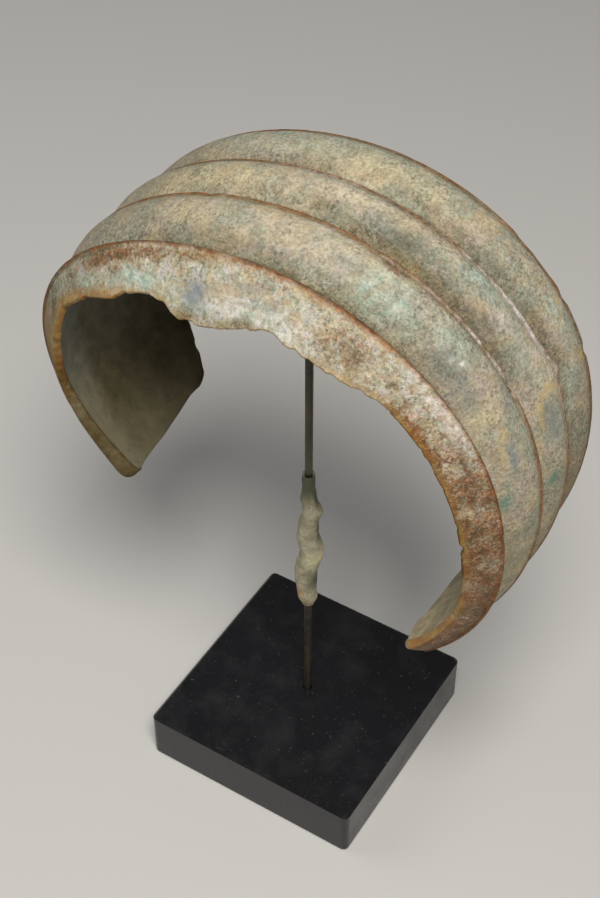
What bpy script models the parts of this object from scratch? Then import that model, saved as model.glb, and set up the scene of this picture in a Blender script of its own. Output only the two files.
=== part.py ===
"""Ribbed cast anklet currency, shown upright on a thin stem with a small block foot.

Metres, Z up. The ring's hole runs along Y, its opening faces down, and the foot stands on z = 0.
The ring is one swept casting: a channel section with four sharp ribs and three hollow flutes, bent
round an open arch, narrower and flatter towards its two cut ends.
"""
import math

import bpy
import bmesh

# The arch that the section is bent round, as seen along the hole; angles are in radians from the top
ARCH_RADIUS = 0.0552
ARCH_HEIGHT_RATIO = 0.954
ARCH_TRIANGLE_SHARE = -0.0229
ARCH_LEAN_SHARE = -0.0226
ARCH_SKEW_SHARE = 0.0227
LEFT_END_ANGLE = -2.201
RIGHT_END_ANGLE = 2.405
MIDDLE_ANGLE = 0.106

# The section at the top of the arch and at the ends
RIB_HEIGHT = 0.0121
RIB_HEIGHT_END = 0.0052
RIB_HALF_SPREAD = 0.0243
RIB_HALF_SPREAD_LEFT = 0.0164
RIB_HALF_SPREAD_RIGHT = 0.0153
NEAR_FLARE_RATIO = 1.278
FAR_FLARE_RATIO = 1.356
MIDDLE_RIB_RATIO = 0.301
OUTER_RIB_RATIO = 0.839
RECESS_DEPTH = 0.0040
RECESS_SHARE = 0.14
RECESS_FADE_POWER_LEFT = 3.0
RECESS_FADE_POWER_RIGHT = 11.0
SHOULDER_BULGE = 0.0028
SHOULDER_BULGE_END = -0.0008
BAND_BULGE = 0.0001
RIM_THICKNESS = 0.0019
RIM_THICKNESS_LEFT = 0.0051
RIM_THICKNESS_RIGHT = 0.0028
CHANNEL_DEPTH = 0.0050
CHANNEL_DEPTH_LEFT = 0.0031
CHANNEL_DEPTH_RIGHT = -0.0021

# The two cut ends: a lean to one side, rounded edges and corners, and a far corner that stands back
END_LEAN_LEFT = 0.0003
END_LEAN_RIGHT = -0.0038
END_ROUND = 0.0018
END_ROUND_KEPT_SHARE = 0.50
END_CORNER = 0.0042
END_CORNER_CUT_SHARE = 0.13
FAR_CORNER_REACH = 0.0105
FAR_CORNER_CUT_SHARE = 0.17
END_RETREAT_LEFT = 0.0099
END_RETREAT_RIGHT = 0.0048
END_RETREAT_REACH = 0.0249
END_RETREAT_START_LEFT_SHARE = 0.99
END_RETREAT_START_RIGHT_SHARE = 0.69
END_RETREAT_POWER_LEFT = 4.3
END_RETREAT_POWER_RIGHT = 0.4

# Worn places in the rims: angle, half width in radians and share of the band gained or lost
NEAR_RIM_SHARES = ((-0.08, 0.16, 0.31), (-0.26, 0.12, 0.30), (0.36, 0.20, 0.17), (0.74, 0.16, -0.06),
                   (-0.66, 0.10, 0.12), (-1.04, 0.12, -0.12), (-1.41, 0.17, 0.28), (1.48, 0.25, 0.04))
FAR_RIM_SHARES = ((0.45, 0.30, -0.09), (-0.75, 0.25, 0.10))

# Places where a rib wanders from its line: angle, half width in radians and share of the spread
FIRST_RIB_DRIFT_SHARES = (1.40, 0.25, -0.028)
THIRD_RIB_DRIFT_SHARES = (1.00, 0.08, 0.101)

# The stand
STEM_RADIUS = 0.0010
STEM_PAD_RADIUS = 0.0035
STEM_PAD_HEIGHT = 0.0012
STEM_OFFSET = -0.0014
ARCH_CENTRE_ABOVE_FOOT = 0.1070
FOOT_SIDE = 0.0630
FOOT_HEIGHT = 0.0160
FOOT_CORNER = 0.0016
FOOT_BEVEL = 0.0008
SOCKET_DEPTH = 0.0100
GAP = 0.0003

# The pale lump round the stem
LUMP_TOP_BELOW_CENTRE = 0.0215
LUMP_LENGTH = 0.0485
LUMP_TOP_RADIUS = 0.0019
LUMP_MIDDLE_RADIUS = 0.0034
LUMP_FOOT_RADIUS = 0.0026
LUMP_BELLY = 0.0010
LUMP_KNOB = 0.0014

# How finely the pieces are divided
STATIONS = 72
BAND_STEPS = 4
FLUTE_SHARES = (0.0, 0.14, 0.32, 0.56, 0.80)
LUMP_RINGS = 25
LUMP_SIDES = 20

CENTRE_X = -STEM_OFFSET
CENTRE_Z = FOOT_HEIGHT + ARCH_CENTRE_ABOVE_FOOT


def clear_scene():
    """Remove every object, mesh and material that the file opens with."""
    for obj in list(bpy.data.objects):
        bpy.data.objects.remove(obj, do_unlink=True)
    for mesh in list(bpy.data.meshes):
        bpy.data.meshes.remove(mesh)
    for mat in list(bpy.data.materials):
        bpy.data.materials.remove(mat)


def material(name, colour, metallic, roughness):
    """A plain shaded material."""
    mat = bpy.data.materials.new(name)
    mat.use_nodes = True
    shader = mat.node_tree.nodes["Principled BSDF"]
    shader.inputs["Base Color"].default_value = colour
    shader.inputs["Metallic"].default_value = metallic
    shader.inputs["Roughness"].default_value = roughness
    mat.diffuse_color = colour
    return mat


def mesh_object(name, verts, faces, mat, sharp=()):
    """One closed body from its points and faces, turned so that it faces out."""
    mesh = bpy.data.meshes.new(name)
    mesh.from_pydata(verts, [], faces)
    bm = bmesh.new()
    bm.from_mesh(mesh)
    bmesh.ops.recalc_face_normals(bm, faces=bm.faces)
    for face in bm.faces:
        face.smooth = True
    bm.to_mesh(mesh)
    bm.free()
    if sharp:
        wanted = set(sharp)
        for edge in mesh.edges:
            if tuple(sorted(edge.vertices)) in wanted:
                edge.use_edge_sharp = True
    mesh.materials.append(mat)
    obj = bpy.data.objects.new(name, mesh)
    bpy.context.collection.objects.link(obj)
    return obj


def bump(angle, place):
    """A smooth hump round one angle: place is its angle, half width and size."""
    centre, width, size = place
    return size * math.exp(-((angle - centre) / width) ** 2)


def arch_point(angle):
    """A point of the arch's base line: x, z."""
    radius = ARCH_RADIUS * (1 + ARCH_TRIANGLE_SHARE * math.cos(3 * angle)
                            + ARCH_LEAN_SHARE * math.sin(2 * angle) + ARCH_SKEW_SHARE * math.sin(3 * angle))
    return radius * math.sin(angle), radius * ARCH_HEIGHT_RATIO * math.cos(angle)


def arch_frame(angle):
    """The base line's point and its outward direction in the x-z plane."""
    step = 1e-4
    x0, z0 = arch_point(angle - step)
    x1, z1 = arch_point(angle + step)
    length = math.hypot(x1 - x0, z1 - z0)
    x, z = arch_point(angle)
    return x, z, -(z1 - z0) / length, (x1 - x0) / length


def arch_speed(angle):
    """Length of base line per radian."""
    step = 1e-4
    x0, z0 = arch_point(angle - step)
    x1, z1 = arch_point(angle + step)
    return math.hypot(x1 - x0, z1 - z0) / (2 * step)


def end_share(angle):
    """0 at the middle of the casting, 1 at its ends."""
    if angle < MIDDLE_ANGLE:
        return min(1.0, (MIDDLE_ANGLE - angle) / (MIDDLE_ANGLE - LEFT_END_ANGLE))
    return min(1.0, (angle - MIDDLE_ANGLE) / (RIGHT_END_ANGLE - MIDDLE_ANGLE))


def by_side(angle, left, right):
    """The left end's value or the right end's."""
    return left if angle < MIDDLE_ANGLE else right


def half_spread(angle):
    """Half the width across the two outer ribs."""
    wide = (1 - end_share(angle) ** 2.458) ** 1.649
    end = by_side(angle, RIB_HALF_SPREAD_LEFT, RIB_HALF_SPREAD_RIGHT)
    return end + (RIB_HALF_SPREAD - end) * wide


def channel_depth(angle):
    """Height of the hollow side's middle over the base line."""
    tall = (1 - end_share(angle) ** 1.394) ** 1.062
    end = by_side(angle, CHANNEL_DEPTH_LEFT, CHANNEL_DEPTH_RIGHT)
    return end + (CHANNEL_DEPTH - end) * tall


def rib_height(angle):
    """Height of the two middle ribs over the base line."""
    tall = (1 - end_share(angle) ** 1.394) ** 1.062
    return RIB_HEIGHT_END + (RIB_HEIGHT - RIB_HEIGHT_END) * tall


def rim_thickness(angle):
    """Thickness of metal at the rims, growing towards the ends."""
    end = by_side(angle, RIM_THICKNESS_LEFT, RIM_THICKNESS_RIGHT)
    return RIM_THICKNESS + (end - RIM_THICKNESS) * end_share(angle) ** 3


def flute_height(angle, share):
    """Height of a flute over the straight line between two ribs: a sharp recess, then a shoulder."""
    u = end_share(angle)
    recess = RECESS_DEPTH * (1 - u ** by_side(angle, RECESS_FADE_POWER_LEFT, RECESS_FADE_POWER_RIGHT))
    bulge = SHOULDER_BULGE + (SHOULDER_BULGE_END - SHOULDER_BULGE) * u ** 1.5
    if share < RECESS_SHARE:
        drop = share / RECESS_SHARE
    else:
        drop = ((1 - share) / (1 - RECESS_SHARE)) ** 1.4
    return bulge * 4 * share * (1 - share) - recess * drop


def rib_crests(angle):
    """The four ribs from near to far: y and height over the base line."""
    spread = half_spread(angle)
    height = rib_height(angle)
    outer = OUTER_RIB_RATIO * height
    first = bump(angle, FIRST_RIB_DRIFT_SHARES)
    third = bump(angle, THIRD_RIB_DRIFT_SHARES)
    return ((spread * (first - 1), outer), (-MIDDLE_RIB_RATIO * spread, height),
            (spread * (MIDDLE_RIB_RATIO + third), height), (spread, outer))


def band_points(crest, reaches, width, side):
    """Points of the band between an outer rib and its rim, at shares of its own slope."""
    y, outer = crest
    slope = math.hypot(width, outer)
    points = []
    for t, reach in reaches:
        push = BAND_BULGE * 4 * t * (1 - t)
        points.append((y + side * (width * reach + push * outer / slope),
                       outer - outer * reach + push * width / slope))
    return points


def outer_profile(angle):
    """The outer side from the near rim to the far rim: y and height over the base line."""
    spread = half_spread(angle)
    near = 1 + sum(bump(angle, p) for p in NEAR_RIM_SHARES)
    far = 1 + sum(bump(angle, p) for p in FAR_RIM_SHARES)
    crests = rib_crests(angle)
    steps = [i / BAND_STEPS for i in range(BAND_STEPS + 1)]
    near_reaches = [(1 - t, (1 - t) * near) for t in steps[:-1]]
    points = band_points(crests[0], near_reaches, (NEAR_FLARE_RATIO - 1) * spread, -1)
    for (y0, h0), (y1, h1) in zip(crests[:-1], crests[1:]):
        for t in FLUTE_SHARES:
            points.append((y0 + (y1 - y0) * t, h0 + (h1 - h0) * t + flute_height(angle, t)))
    far_reaches = [(t, t * far) for t in steps]
    return points + band_points(crests[3], far_reaches, (FAR_FLARE_RATIO - 1) * spread, 1)


def inner_profile(angle, outer):
    """The hollow side, point for point opposite the outer side."""
    depth = channel_depth(angle)
    thick = rim_thickness(angle)

    def rim_back(edge, inside):
        run = (inside[0] - edge[0], inside[1] - edge[1])
        length = math.hypot(*run)
        side = 1 if run[0] > 0 else -1
        return (edge[0] + side * thick * run[1] / length, edge[1] - side * thick * run[0] / length)

    near = rim_back(outer[0], outer[1])
    far = rim_back(outer[-1], outer[-2])
    count = len(outer)
    middle = 0.5 * (near[0] + far[0])
    half = 0.5 * (far[0] - near[0])
    points = []
    for i in range(count):
        s = -math.cos(math.pi * i / (count - 1))
        s = 0.5 * s + 0.5 * (2 * i / (count - 1) - 1)
        edge_height = near[1] + (far[1] - near[1]) * (s + 1) / 2
        rise = (1 - abs(s) ** 2.5) ** 0.72
        points.append((middle + half * s, edge_height + (depth - edge_height) * rise))
    return points


def section(angle, end_distance):
    """Both sides of the section at one angle, rounded off close to an end."""
    lean = by_side(angle, END_LEAN_LEFT, END_LEAN_RIGHT) * end_share(angle) ** 2
    outer = outer_profile(angle)
    inner = inner_profile(angle, outer)
    keep = 1.0
    if end_distance < END_ROUND:
        turn = math.sqrt(max(0.0, 1 - (1 - end_distance / END_ROUND) ** 2))
        keep = END_ROUND_KEPT_SHARE + (1 - END_ROUND_KEPT_SHARE) * turn
    narrow = 1.0
    if end_distance < END_CORNER:
        narrow = 1 - END_CORNER_CUT_SHARE * (1 - math.sqrt(1 - (1 - end_distance / END_CORNER) ** 2))
    far_cut = 0.0
    if angle < MIDDLE_ANGLE and end_distance < FAR_CORNER_REACH:
        far_cut = FAR_CORNER_CUT_SHARE * (1 - math.sqrt(1 - (1 - end_distance / FAR_CORNER_REACH) ** 2))
    rim = half_spread(angle) * NEAR_FLARE_RATIO
    new_outer = []
    new_inner = []
    for (yo, ho), (yi, hi) in zip(outer, inner):
        ym = 0.5 * (yo + yi)
        hm = 0.5 * (ho + hi)
        yo = (ym + (yo - ym) * keep) * narrow
        yi = (ym + (yi - ym) * keep) * narrow
        new_outer.append((yo * (1 - far_cut * max(0.0, yo / rim) ** 2) + lean, hm + (ho - hm) * keep))
        new_inner.append((yi * (1 - far_cut * max(0.0, yi / rim) ** 2) + lean, hm + (hi - hm) * keep))
    return new_outer, new_inner


def station_angles():
    """Angles along the casting with their distance from the nearer end, closer at the ends."""
    first = LEFT_END_ANGLE
    last = RIGHT_END_ANGLE
    start = first + END_CORNER / arch_speed(first)
    stop = last - END_CORNER / arch_speed(last)
    near_end = [0.0, 0.12 * END_ROUND, 0.45 * END_ROUND, END_ROUND,
                END_ROUND + 0.45 * (END_CORNER - END_ROUND)]
    stations = [(first + d / arch_speed(first), d) for d in near_end]
    middle = STATIONS - 2 * len(near_end)
    for i in range(middle):
        angle = start + (stop - start) * i / (middle - 1)
        to_end = END_CORNER + min(angle - start, stop - angle) * arch_speed(angle)
        stations.append((angle, to_end))
    stations += [(last - d / arch_speed(last), d) for d in reversed(near_end)]
    return stations


def place(angle, y, height):
    """A point of the section set on the arch."""
    x, z, out_x, out_z = arch_frame(angle)
    return (CENTRE_X + x + out_x * height, y, CENTRE_Z + z + out_z * height)


def end_retreat(angle, y, end_distance):
    """How far the rounded far corner of an end stands back from a square cut, in radians."""
    if end_distance >= END_RETREAT_REACH:
        return 0.0
    rim = half_spread(angle) * NEAR_FLARE_RATIO
    start = by_side(angle, END_RETREAT_START_LEFT_SHARE, END_RETREAT_START_RIGHT_SHARE)
    across = max(0.0, min(1.2, (y / rim + start) / (1 + start)))
    power = by_side(angle, END_RETREAT_POWER_LEFT, END_RETREAT_POWER_RIGHT)
    fade = (1 - end_distance / END_RETREAT_REACH) ** 2
    retreat = by_side(angle, END_RETREAT_LEFT, -END_RETREAT_RIGHT)
    return retreat * across ** power * fade / arch_speed(angle)


def build_anklet(mat):
    """The open ribbed ring."""
    rings = []
    for angle, distance in station_angles():
        outer, inner = section(angle, distance)
        ring = [place(angle + end_retreat(angle, y, distance), y, h) for y, h in outer]
        ring += [place(angle + end_retreat(angle, y, distance), y, h) for y, h in reversed(inner)]
        rings.append(ring)
    around = len(rings[0])
    across = around // 2
    verts = [v for ring in rings for v in ring]
    faces = []
    for i in range(len(rings) - 1):
        for j in range(around):
            k = (j + 1) % around
            faces.append((i * around + j, i * around + k, (i + 1) * around + k, (i + 1) * around + j))
    for i in (0, len(rings) - 1):
        for j in range(across - 1):
            faces.append((i * around + j, i * around + j + 1,
                          i * around + around - 2 - j, i * around + around - 1 - j))
    crest_columns = [BAND_STEPS + n * len(FLUTE_SHARES) for n in range(4)]
    sharp = []
    for i in range(5, len(rings) - 6):
        for j in crest_columns:
            sharp.append((i * around + j, (i + 1) * around + j))
    return mesh_object("anklet", verts, faces, mat, sharp)


def lathe(rows, sides):
    """Rings of points about the Z axis: rows are radius and height."""
    verts = []
    for radius, z in rows:
        for i in range(sides):
            a = 2 * math.pi * i / sides
            verts.append((radius * math.cos(a), radius * math.sin(a), z))
    return verts


def bridge(rows, sides, closed=False):
    """Faces between neighbouring rings, and end caps unless the rings close on themselves."""
    faces = []
    pairs = rows if closed else rows - 1
    for r in range(pairs):
        s = (r + 1) % rows
        for i in range(sides):
            k = (i + 1) % sides
            faces.append((r * sides + i, r * sides + k, s * sides + k, s * sides + i))
    if not closed:
        faces.append(tuple(range(sides))[::-1])
        faces.append(tuple((rows - 1) * sides + i for i in range(sides)))
    return faces


def underside_over_stem():
    """Lowest height of the hollow side over the stem's pad."""
    lowest = None
    for i in range(-60, 61):
        angle = i * 0.005
        x, z, out_x, out_z = arch_frame(angle)
        depth = channel_depth(angle)
        if abs(CENTRE_X + x + out_x * depth) <= STEM_PAD_RADIUS * 1.4:
            top = CENTRE_Z + z + out_z * depth
            lowest = top if lowest is None else min(lowest, top)
    return lowest - 0.0002


def build_stem(mat):
    """The thin rod with its small rounded pad under the arch."""
    top = underside_over_stem() - GAP
    foot = FOOT_HEIGHT - SOCKET_DEPTH + GAP
    pad = top - STEM_PAD_HEIGHT
    rows = [(STEM_RADIUS * 0.8, foot), (STEM_RADIUS, foot + STEM_RADIUS * 0.2)]
    steps = 8
    for i in range(1, steps):
        rows.append((STEM_RADIUS, foot + (pad - foot) * i / steps))
    rows += [(STEM_RADIUS, pad - STEM_PAD_HEIGHT), (STEM_PAD_RADIUS * 0.92, pad),
             (STEM_PAD_RADIUS, pad + STEM_PAD_HEIGHT * 0.4), (STEM_PAD_RADIUS * 0.9, pad + STEM_PAD_HEIGHT * 0.85),
             (STEM_PAD_RADIUS * 0.6, top)]
    return mesh_object("stand_stem", lathe(rows, 20), bridge(len(rows), 20), mat)


def build_lump(mat):
    """The rough pale lump that wraps the middle of the stem."""
    top = CENTRE_Z - LUMP_TOP_BELOW_CENTRE
    bore = STEM_RADIUS + GAP
    verts = []
    for r in range(LUMP_RINGS):
        t = r / (LUMP_RINGS - 1)
        z = top - LUMP_LENGTH + LUMP_LENGTH * t
        if t < 0.45:
            mean = LUMP_FOOT_RADIUS + (LUMP_MIDDLE_RADIUS - LUMP_FOOT_RADIUS) * math.sin(math.pi / 2 * t / 0.45)
        else:
            s = (t - 0.45) / 0.55
            mean = LUMP_TOP_RADIUS + (LUMP_MIDDLE_RADIUS - LUMP_TOP_RADIUS) * (1 - s) ** 1.3
        mean *= 0.80 + 0.20 * min(1.0, t / 0.08, (1 - t) / 0.05)
        for i in range(LUMP_SIDES):
            a = 2 * math.pi * i / LUMP_SIDES
            bulge = LUMP_BELLY * math.cos(a - 0.5) * math.exp(-((t - 0.44) / 0.10) ** 2)
            bulge += LUMP_KNOB * math.cos(a - 0.3) * math.exp(-((t - 0.735) / 0.045) ** 2)
            bulge += LUMP_BELLY * 0.7 * math.cos(a - 3.5) * math.exp(-((t - 0.22) / 0.13) ** 2)
            bulge += LUMP_BELLY * 0.5 * math.cos(a - 3.7) * math.exp(-((t - 0.53) / 0.06) ** 2)
            radius = max(bore + 0.0004, mean + bulge)
            verts.append((radius * math.cos(a), radius * math.sin(a), z))
    for z in (top, top - LUMP_LENGTH):
        for i in range(LUMP_SIDES):
            a = 2 * math.pi * i / LUMP_SIDES
            verts.append((bore * math.cos(a), bore * math.sin(a), z))
    return mesh_object("stem_lump", verts, bridge(LUMP_RINGS + 2, LUMP_SIDES, closed=True), mat)


def foot_loop(inset, z):
    """The foot's outline with four rounded corners, 8 points a side."""
    half = FOOT_SIDE / 2 - inset
    corner = max(FOOT_CORNER - inset, 0.0003)
    points = []
    for quarter in range(4):
        turn = quarter * math.pi / 2
        local = []
        for i in range(5):
            a = -math.pi / 4 + math.pi / 2 * (i / 4) + math.pi / 4
            local.append((half - corner + corner * math.cos(a), half - corner + corner * math.sin(a)))
        for j in range(1, 4):
            local.append(((half - corner) * (1 - j / 2.0), half))
        for x, y in local:
            points.append((x * math.cos(turn) - y * math.sin(turn),
                           x * math.sin(turn) + y * math.cos(turn), z))
    return points


def build_foot(mat):
    """The block foot with the stem's blind socket in its top."""
    loops = [foot_loop(FOOT_BEVEL, 0.0), foot_loop(0.0, FOOT_BEVEL),
             foot_loop(0.0, FOOT_HEIGHT - FOOT_BEVEL), foot_loop(FOOT_BEVEL, FOOT_HEIGHT)]
    bore = STEM_RADIUS + GAP

    def ring(radius, z):
        points = []
        for x, y, _ in loops[0]:
            a = math.atan2(y, x)
            points.append((radius * math.cos(a), radius * math.sin(a), z))
        return points

    loops += [ring(bore * 4, FOOT_HEIGHT), ring(bore, FOOT_HEIGHT), ring(bore, FOOT_HEIGHT - SOCKET_DEPTH)]
    count = len(loops[0])
    verts = [v for loop in loops for v in loop]
    return mesh_object("stand_foot", verts, bridge(len(loops), count), mat)


def main():
    clear_scene()
    patina = material("patina", (0.36, 0.31, 0.22, 1.0), 0.6, 0.6)
    rod = material("stem_metal", (0.05, 0.05, 0.045, 1.0), 0.6, 0.45)
    putty = material("pale_putty", (0.31, 0.28, 0.19, 1.0), 0.0, 0.85)
    black = material("foot_black", (0.012, 0.012, 0.014, 1.0), 0.0, 0.3)
    build_anklet(patina)
    build_stem(rod)
    build_lump(putty)
    build_foot(black)


main()
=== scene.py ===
"""Looks for the cast anklet currency on its stem and block foot: patina, rubbed ribs, light and camera."""
import math

import bpy
import numpy as np
from mathutils import Matrix, Vector


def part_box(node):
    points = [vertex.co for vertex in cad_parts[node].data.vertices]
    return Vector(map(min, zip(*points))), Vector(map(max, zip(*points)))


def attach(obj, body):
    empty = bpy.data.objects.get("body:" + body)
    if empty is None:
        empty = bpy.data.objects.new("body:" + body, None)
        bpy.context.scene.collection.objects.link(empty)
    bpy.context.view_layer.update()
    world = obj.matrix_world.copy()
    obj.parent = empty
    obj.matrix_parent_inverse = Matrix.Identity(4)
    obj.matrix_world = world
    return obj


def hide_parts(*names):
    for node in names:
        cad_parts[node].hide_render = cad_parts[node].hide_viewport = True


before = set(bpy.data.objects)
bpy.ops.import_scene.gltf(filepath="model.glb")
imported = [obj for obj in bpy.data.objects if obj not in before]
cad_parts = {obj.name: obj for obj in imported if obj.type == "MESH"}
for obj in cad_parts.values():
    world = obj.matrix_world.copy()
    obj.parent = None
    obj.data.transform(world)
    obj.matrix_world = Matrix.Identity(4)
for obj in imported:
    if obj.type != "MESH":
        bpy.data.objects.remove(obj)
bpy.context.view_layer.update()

# The photograph's camera: picture size in pixels, focal length in pixels, place round its target
PICTURE_WIDTH = 600
PICTURE_FOCAL = 1676.0
CAMERA_TARGET = (0.0071, -0.0155, 0.1269)
CAMERA_AZIMUTH = 0.5563
CAMERA_ELEVATION = 0.7823
CAMERA_DISTANCE = 0.3805

# The casting's measures are those of its solid.
# The arch that the section is bent round, as seen along the hole; angles are in radians from the top
ARCH_RADIUS = 0.0552
ARCH_HEIGHT_RATIO = 0.954
ARCH_TRIANGLE_SHARE = -0.0229
ARCH_LEAN_SHARE = -0.0226
ARCH_SKEW_SHARE = 0.0227
LEFT_END_ANGLE = -2.201
RIGHT_END_ANGLE = 2.405
MIDDLE_ANGLE = 0.106

# The section at the top of the arch and at its ends; a pair holds the left end's value, then the right's
RIB_HEIGHT = 0.0121
RIB_HEIGHT_END = 0.0052
RIB_HALF_SPREAD = 0.0243
RIB_HALF_SPREAD_ENDS = (0.0164, 0.0153)
NEAR_FLARE_RATIO = 1.278
FAR_FLARE_RATIO = 1.356
MIDDLE_RIB_RATIO = 0.301
OUTER_RIB_RATIO = 0.839
RECESS_DEPTH = 0.004
RECESS_SHARE = 0.14
RECESS_FADE_POWERS = (3.0, 11.0)
SHOULDER_BULGE = 0.0028
SHOULDER_BULGE_END = -0.0008
SHOULDER_FALL_POWER = 1.4
BAND_BULGE = 0.0001
RIM_THICKNESS = 0.0019
RIM_THICKNESS_ENDS = (0.0051, 0.0028)
CHANNEL_DEPTH = 0.005
CHANNEL_DEPTH_ENDS = (0.0031, -0.0021)
HOLLOW_POWERS = (2.5, 0.72)

# How the section's measures change from the middle to the ends
HEIGHT_FADE_POWERS = (1.394, 1.062)
SPREAD_FADE_POWERS = (2.458, 1.649)
RIM_FADE_POWER = 3
BULGE_FADE_POWER = 1.5
LEAN_FADE_POWER = 2

# The two cut ends: a lean to one side, rounded edges and corners, and a far corner that stands back
END_LEANS = (0.0003, -0.0038)
END_ROUND = 0.0018
END_ROUND_KEPT_SHARE = 0.5
END_CORNER = 0.0042
END_CORNER_CUT_SHARE = 0.13
FAR_CORNER_REACH = 0.0105
FAR_CORNER_CUT_SHARE = 0.17
END_RETREATS = (0.0099, -0.0048)
END_RETREAT_REACH = 0.0249
END_RETREAT_START_SHARES = (0.99, 0.69)
END_RETREAT_POWERS = (4.3, 0.4)

# Worn places in the rims: angle, half width in radians and share of the band gained or lost
NEAR_RIM_SHARES = (
    (-0.08, 0.16, 0.31), (-0.26, 0.12, 0.3), (0.36, 0.2, 0.17), (0.74, 0.16, -0.06), (-0.66, 0.1, 0.12),
    (-1.04, 0.12, -0.12), (-1.41, 0.17, 0.28), (1.48, 0.25, 0.04))
FAR_RIM_SHARES = ((0.45, 0.3, -0.09), (-0.75, 0.25, 0.1))

# Places where a rib wanders from its line: angle, half width in radians and share of the spread
FIRST_RIB_DRIFT_SHARES = (1.4, 0.25, -0.028)
THIRD_RIB_DRIFT_SHARES = (1.00, 0.08, 0.101)

# Small ragged loss along the rims: size of its lumps, and how much of the band goes
RIM_WANDER_SIZE = 0.004
NEAR_RIM_WANDER_SHARE = 0.065
FAR_RIM_WANDER_SHARE = 0.05

# The arch's centre, and the radius of the rims' rounded edges
FOOT_HEIGHT = 0.016
CENTRE_ABOVE_FOOT = 0.107
CENTRE_X = 0.0014
CENTRE_Z = FOOT_HEIGHT + CENTRE_ABOVE_FOOT
RIM_ROUND = 0.0007

# How finely the casting is divided
STATIONS = 540
BAND_COLUMNS = 26
RECESS_COLUMNS = 8
SHOULDER_COLUMNS = 25
FAR_BAND_COLUMNS = 18
RIM_COLUMNS = 4
INNER_COLUMNS = 27
BAND_CROWDING = 1.4
SHOULDER_CROWDING = 1.5
END_STEP_SHARES = (0, 0.04, 0.12, 0.25, 0.42, 0.62, 0.85, 1.1)


def lattice(cell, seed):
    """A repeatable random number from 0 to 1 for each whole-number place."""
    h = np.zeros(len(cell), np.int64)
    for part, prime in zip(cell.T, (73856093, 19349663, 83492791)):
        h = h ^ (part.astype(np.int64) * prime)
    h = (h ^ (seed * 2654435761)) & 0xFFFFFFFF
    h = (h ^ (h >> 15)) * 2246822519 & 0xFFFFFFFF
    h = (h ^ (h >> 13)) * 3266489917 & 0xFFFFFFFF
    h = h ^ (h >> 16)
    return h.astype(float) / 4294967295.0


def soft_noise(points, size, seed):
    """Smooth noise from -1 to 1, with lumps of about the given size."""
    place = points / size
    base = np.floor(place)
    f = place - base
    w = f * f * (3 - 2 * f)
    total = np.zeros(len(points))
    for corner in np.ndindex(2, 2, 2):
        weight = np.where(corner, w, 1 - w)
        total += weight[:, 0] * weight[:, 1] * weight[:, 2] * lattice(base + corner, seed)
    return 2 * total - 1


def layered_noise(points, size, seed, layers=4, rough=0.5):
    """Several sizes of smooth noise, each finer and weaker than the last."""
    total = np.zeros(len(points))
    strength = 1
    whole = 0
    for i in range(layers):
        total += strength * soft_noise(points + 0.0137 * i, size / 2 ** i, seed + i)
        whole += strength
        strength *= rough
    return total / whole


def pit_field(points, spacing, smallest, largest, seed, share):
    """Round pits scattered in space: 1 at a pit's middle, 0 outside; share is how many cells hold one."""
    cell = np.floor(points / spacing)
    deepest = np.zeros(len(points))
    for step in np.ndindex(3, 3, 3):
        near = cell + step - 1
        draws = [lattice(near, seed + k) for k in range(5)]
        centre = (near + np.stack(draws[:3], -1)) * spacing
        radius = smallest + (largest - smallest) * draws[3] ** 2
        distance = np.linalg.norm(points - centre, axis=1) / radius
        bowl = np.clip(1 - distance ** 2, 0, 1) * (draws[4] < share)
        deepest = np.maximum(deepest, bowl)
    return deepest


def ramp(value, low, high):
    """0 below low, 1 above high, smooth between."""
    t = np.clip((value - low) / (high - low), 0, 1)
    return t * t * (3 - 2 * t)


def fading(share, powers):
    """1 at a share of 0, falling to 0 at a share of 1."""
    return (1 - share ** powers[0]) ** powers[1]


def hump(value, centre, half_width):
    """1 at the centre, fading to 0 on both sides."""
    return np.exp(-((value - centre) / half_width) ** 2)


def arch_point(angle):
    """Points of the arch's base line."""
    radius = ARCH_RADIUS * (1 + ARCH_TRIANGLE_SHARE * np.cos(3 * angle)
                            + ARCH_LEAN_SHARE * np.sin(2 * angle) + ARCH_SKEW_SHARE * np.sin(3 * angle))
    return radius * np.sin(angle), radius * ARCH_HEIGHT_RATIO * np.cos(angle)


def arch_frame(angle):
    """Points of the base line with their outward direction and length per radian."""
    step = 1e-4
    x0, z0 = arch_point(angle - step)
    x1, z1 = arch_point(angle + step)
    length = np.hypot(x1 - x0, z1 - z0)
    x, z = arch_point(angle)
    return x, z, -(z1 - z0) / length, (x1 - x0) / length, length / (2 * step)


def bumps(angle, places):
    """Sum of smooth humps: each place is an angle, a half width and a size."""
    return sum(size * hump(angle, centre, width) for centre, width, size in places)


def end_share(angle):
    """0 at the middle of the casting, 1 at its ends."""
    left = (MIDDLE_ANGLE - angle) / (MIDDLE_ANGLE - LEFT_END_ANGLE)
    right = (angle - MIDDLE_ANGLE) / (RIGHT_END_ANGLE - MIDDLE_ANGLE)
    return np.clip(np.where(angle < MIDDLE_ANGLE, left, right), 0, 1)


def rim_wander(angle, seed, reach):
    """Small ragged loss along a rim, as a share of its band."""
    line = np.stack([angle * ARCH_RADIUS, 0 * angle, 0 * angle], -1)
    return -reach * (0.12 + ramp(layered_noise(line, RIM_WANDER_SIZE, seed, 4, 0.65), -0.15, 0.55))


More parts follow.
